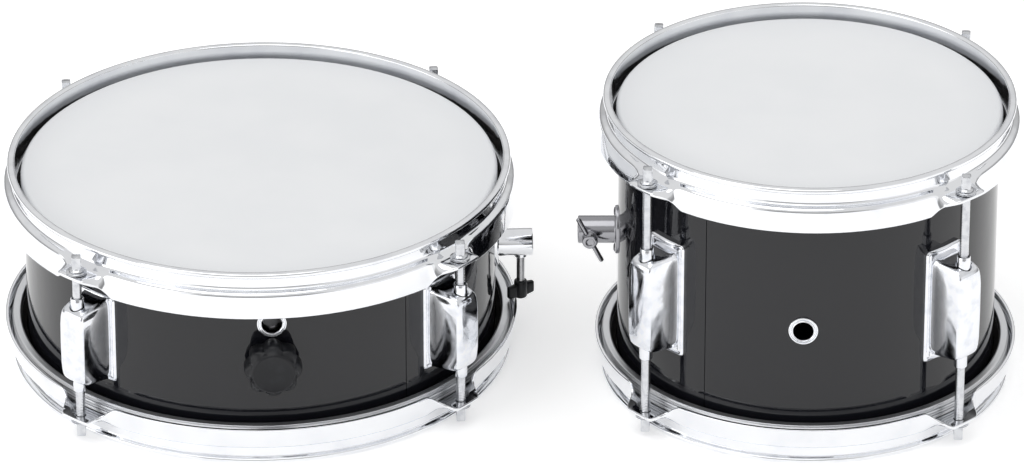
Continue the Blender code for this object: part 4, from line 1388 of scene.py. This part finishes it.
def make_wires():
    low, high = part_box("snare_wires")
    mesh = wire_rule().mesh({
        "Length": 2.0 * COMB_REACH, "Coil radius": 0.55 * MM, "Wire radius": 0.2 * MM,
        "Spacing": WIRE_PITCH, "Turns": 120.0, "Count": WIRE_COUNT})
    top = high.z - 0.75 * MM
    drop = 2.0 * MM * (2.0 * COMB_REACH) / (209.0 * MM)
    tilt = math.atan2(drop, 2.0 * COMB_REACH)
    place = snare.place @ Matrix.Translation((0.0, 0.0, top - 0.5 * drop)) @ Matrix.Rotation(tilt, 4, "X")
    bm = bmesh.new()
    bm.from_mesh(mesh)
    bmesh.ops.translate(bm, verts=bm.verts, vec=(0.0, -COMB_REACH, 0.0))
    for side in (-1.0, 1.0):
        y = side * COMB_REACH
        foot = low.z - (top - 0.5 * drop) - side * 0.5 * drop
        corners = ((-1, -1), (1, -1), (1, 1), (-1, 1))
        steps = ((3.0, foot), (3.0, foot + 1.2 * MM), (1.0, foot + 2.4 * MM), (1.0, 0.0))
        bar = stack([
            [Vector((x * 17.0 * MM, y + s * (w * MM), z)) for x, s in corners] for w, z in steps
        ])
        bm.from_mesh(as_mesh(bar))
    return finished(
        "snare_coiled_wires", bm, STEEL, "snare_strip", ["snare_wires"], place, 50.0,
        False,
    )


coils = make_wires()

# %% [markdown]
# ## Nodes that keep their own shape
# The strainer's strip, spindle, bush and hinge lie inside the snare drum. Their
# solids already have the right form, so they stay and only get the steel.

# %% Steel on the strainer's inner pieces
for name in (
    "snare_strip", "snare_spindle", "snare_knob_bush", "snare_hinge_bracket",
    "snare_hinge_pin",
):
    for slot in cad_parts[name].material_slots:
        slot.material = STEEL
print("inner pieces in", STEEL.name)

# %% [markdown]
# ## Floor
# The drums stand on a plain pale floor. Its colour is nearly white, and the camera
# and the reflections see a little glow on it, so that it renders white where
# nothing shades it. The glow lights nothing, so the soft shadow under the hoops
# stays.

# %% Pale floor
def make_floor():
    paper = Finish("pale_floor", Roughness=0.9, Emission_Strength=1.0)
    fibre = paper.noise(0.004, 4.0, 0.6)
    kinds = ("Camera", "Glossy", "Transmission")
    rays = [paper.node("ShaderNodeLightPath", out="Is %s Ray" % kind) for kind in kinds]
    seen = (rays[0] + rays[1] + rays[2]).ramp(0.0, 1.0)
    paper.set(
        Base_Color=paper.mix(fibre, (0.925, 0.925, 0.925), (0.935, 0.935, 0.935)),
        Emission_Color=paper.mix(seen, (0.0, 0.0, 0.0), (0.34, 0.34, 0.34)),
    )
    paper.shader.inputs["Specular IOR Level"].default_value = 0.0
    bm = bmesh.new()
    bmesh.ops.create_grid(bm, x_segments=8, y_segments=8, size=6.0)
    mesh = bpy.data.meshes.new("floor")
    bm.to_mesh(mesh)
    bm.free()
    mesh.materials.append(paper.material)
    floor = bpy.data.objects.new("floor", mesh)
    bpy.context.collection.objects.link(floor)
    return floor


floor = make_floor()
print("floor is", 12, "m wide")

# %% [markdown]
# ## Studio light
# The world is a plain studio in greys: a pale ceiling, grey walls with a darker
# band at eye level, and two wide panels with soft edges, a strong one at the left
# and a weak one at the right. One wide soft lamp overhead gives the heads their
# light. Below the drums, chrome and gloss black show the pale floor.

# %% Plain studio
CEILING = (0.8, 0.8, 0.8)
WALL = (0.5, 0.5, 0.5)
BAND = (0.3, 0.3, 0.3)
PANELS = ((-60.0, (2.0, 2.0, 2.0)), (60.0, (1.0, 1.0, 1.0)))
PANEL_HALF = 20.0
PANEL_EDGE = 20.0


def make_world():
    world = bpy.data.worlds.new("studio")
    world.use_nodes = True
    bpy.context.scene.world = world
    net = Net(world.node_tree)
    way = net.node("ShaderNodeTexCoord", out="Generated")
    x, y, z = [net.node("ShaderNodeSeparateXYZ", None, {0: way}, k) for k in range(3)]
    turn = x.math("ARCTAN2", y * -1.0) * math.degrees(1.0)
    sight = net.mix(z.ramp(-0.1, 0.1) * (1.0 - z.ramp(0.1, 0.3)), WALL, BAND)
    for middle, tone in PANELS:
        away = (turn - middle).math("ABSOLUTE")
        sight = net.mix(1.0 - away.ramp(PANEL_HALF, PANEL_HALF + PANEL_EDGE), sight, tone)
    sky = net.mix(z.ramp(0.3, 0.5), sight, CEILING)
    background = world.node_tree.nodes["Background"]
    world.node_tree.links.new(sky.socket, background.inputs["Color"])
    background.inputs["Strength"].default_value = 1.0
    print("panels in the studio", len(PANELS))


make_world()

# %% One soft lamp
def make_lamp(name, at, aim, size, power):
    lamp = bpy.data.lights.new(name, "AREA")
    lamp.shape = "DISK"
    lamp.size = size
    lamp.energy = power
    obj = bpy.data.objects.new(name, lamp)
    obj.location = at
    obj.rotation_euler = (Vector(aim) - Vector(at)).to_track_quat("-Z", "Y").to_euler()
    bpy.context.collection.objects.link(obj)
    return obj


LAMP_WIDTH = 2.0
LAMP_WATTS = 12.0
make_lamp("overhead", (-0.4, -0.5, 2.2), (0.0, 0.0, 0.05), LAMP_WIDTH, LAMP_WATTS)
print("lamp set")

# %% [markdown]
# ## Camera
# The photograph was taken with a long lens from the front and from about 28
# degrees above. The numbers come from fitting one camera to the rims, the shell
# edges and the floor line of both drums.

# %% The photograph's view
def make_camera():
    data = bpy.data.cameras.new("camera")
    data.lens = 262.95
    data.sensor_width = 36.0
    data.clip_end = 50.0
    camera = bpy.data.objects.new("camera", data)
    camera.location = snare.middle + Vector((0.13608, -3.56241, 1.9809))
    camera.rotation_euler = (math.radians(61.74), 0.0, 0.0)
    bpy.context.collection.objects.link(camera)
    bpy.context.scene.camera = camera
    return camera


camera = make_camera()
bpy.context.scene.view_settings.view_transform = "Standard"
print("camera stands at", [round(v, 3) for v in camera.location])
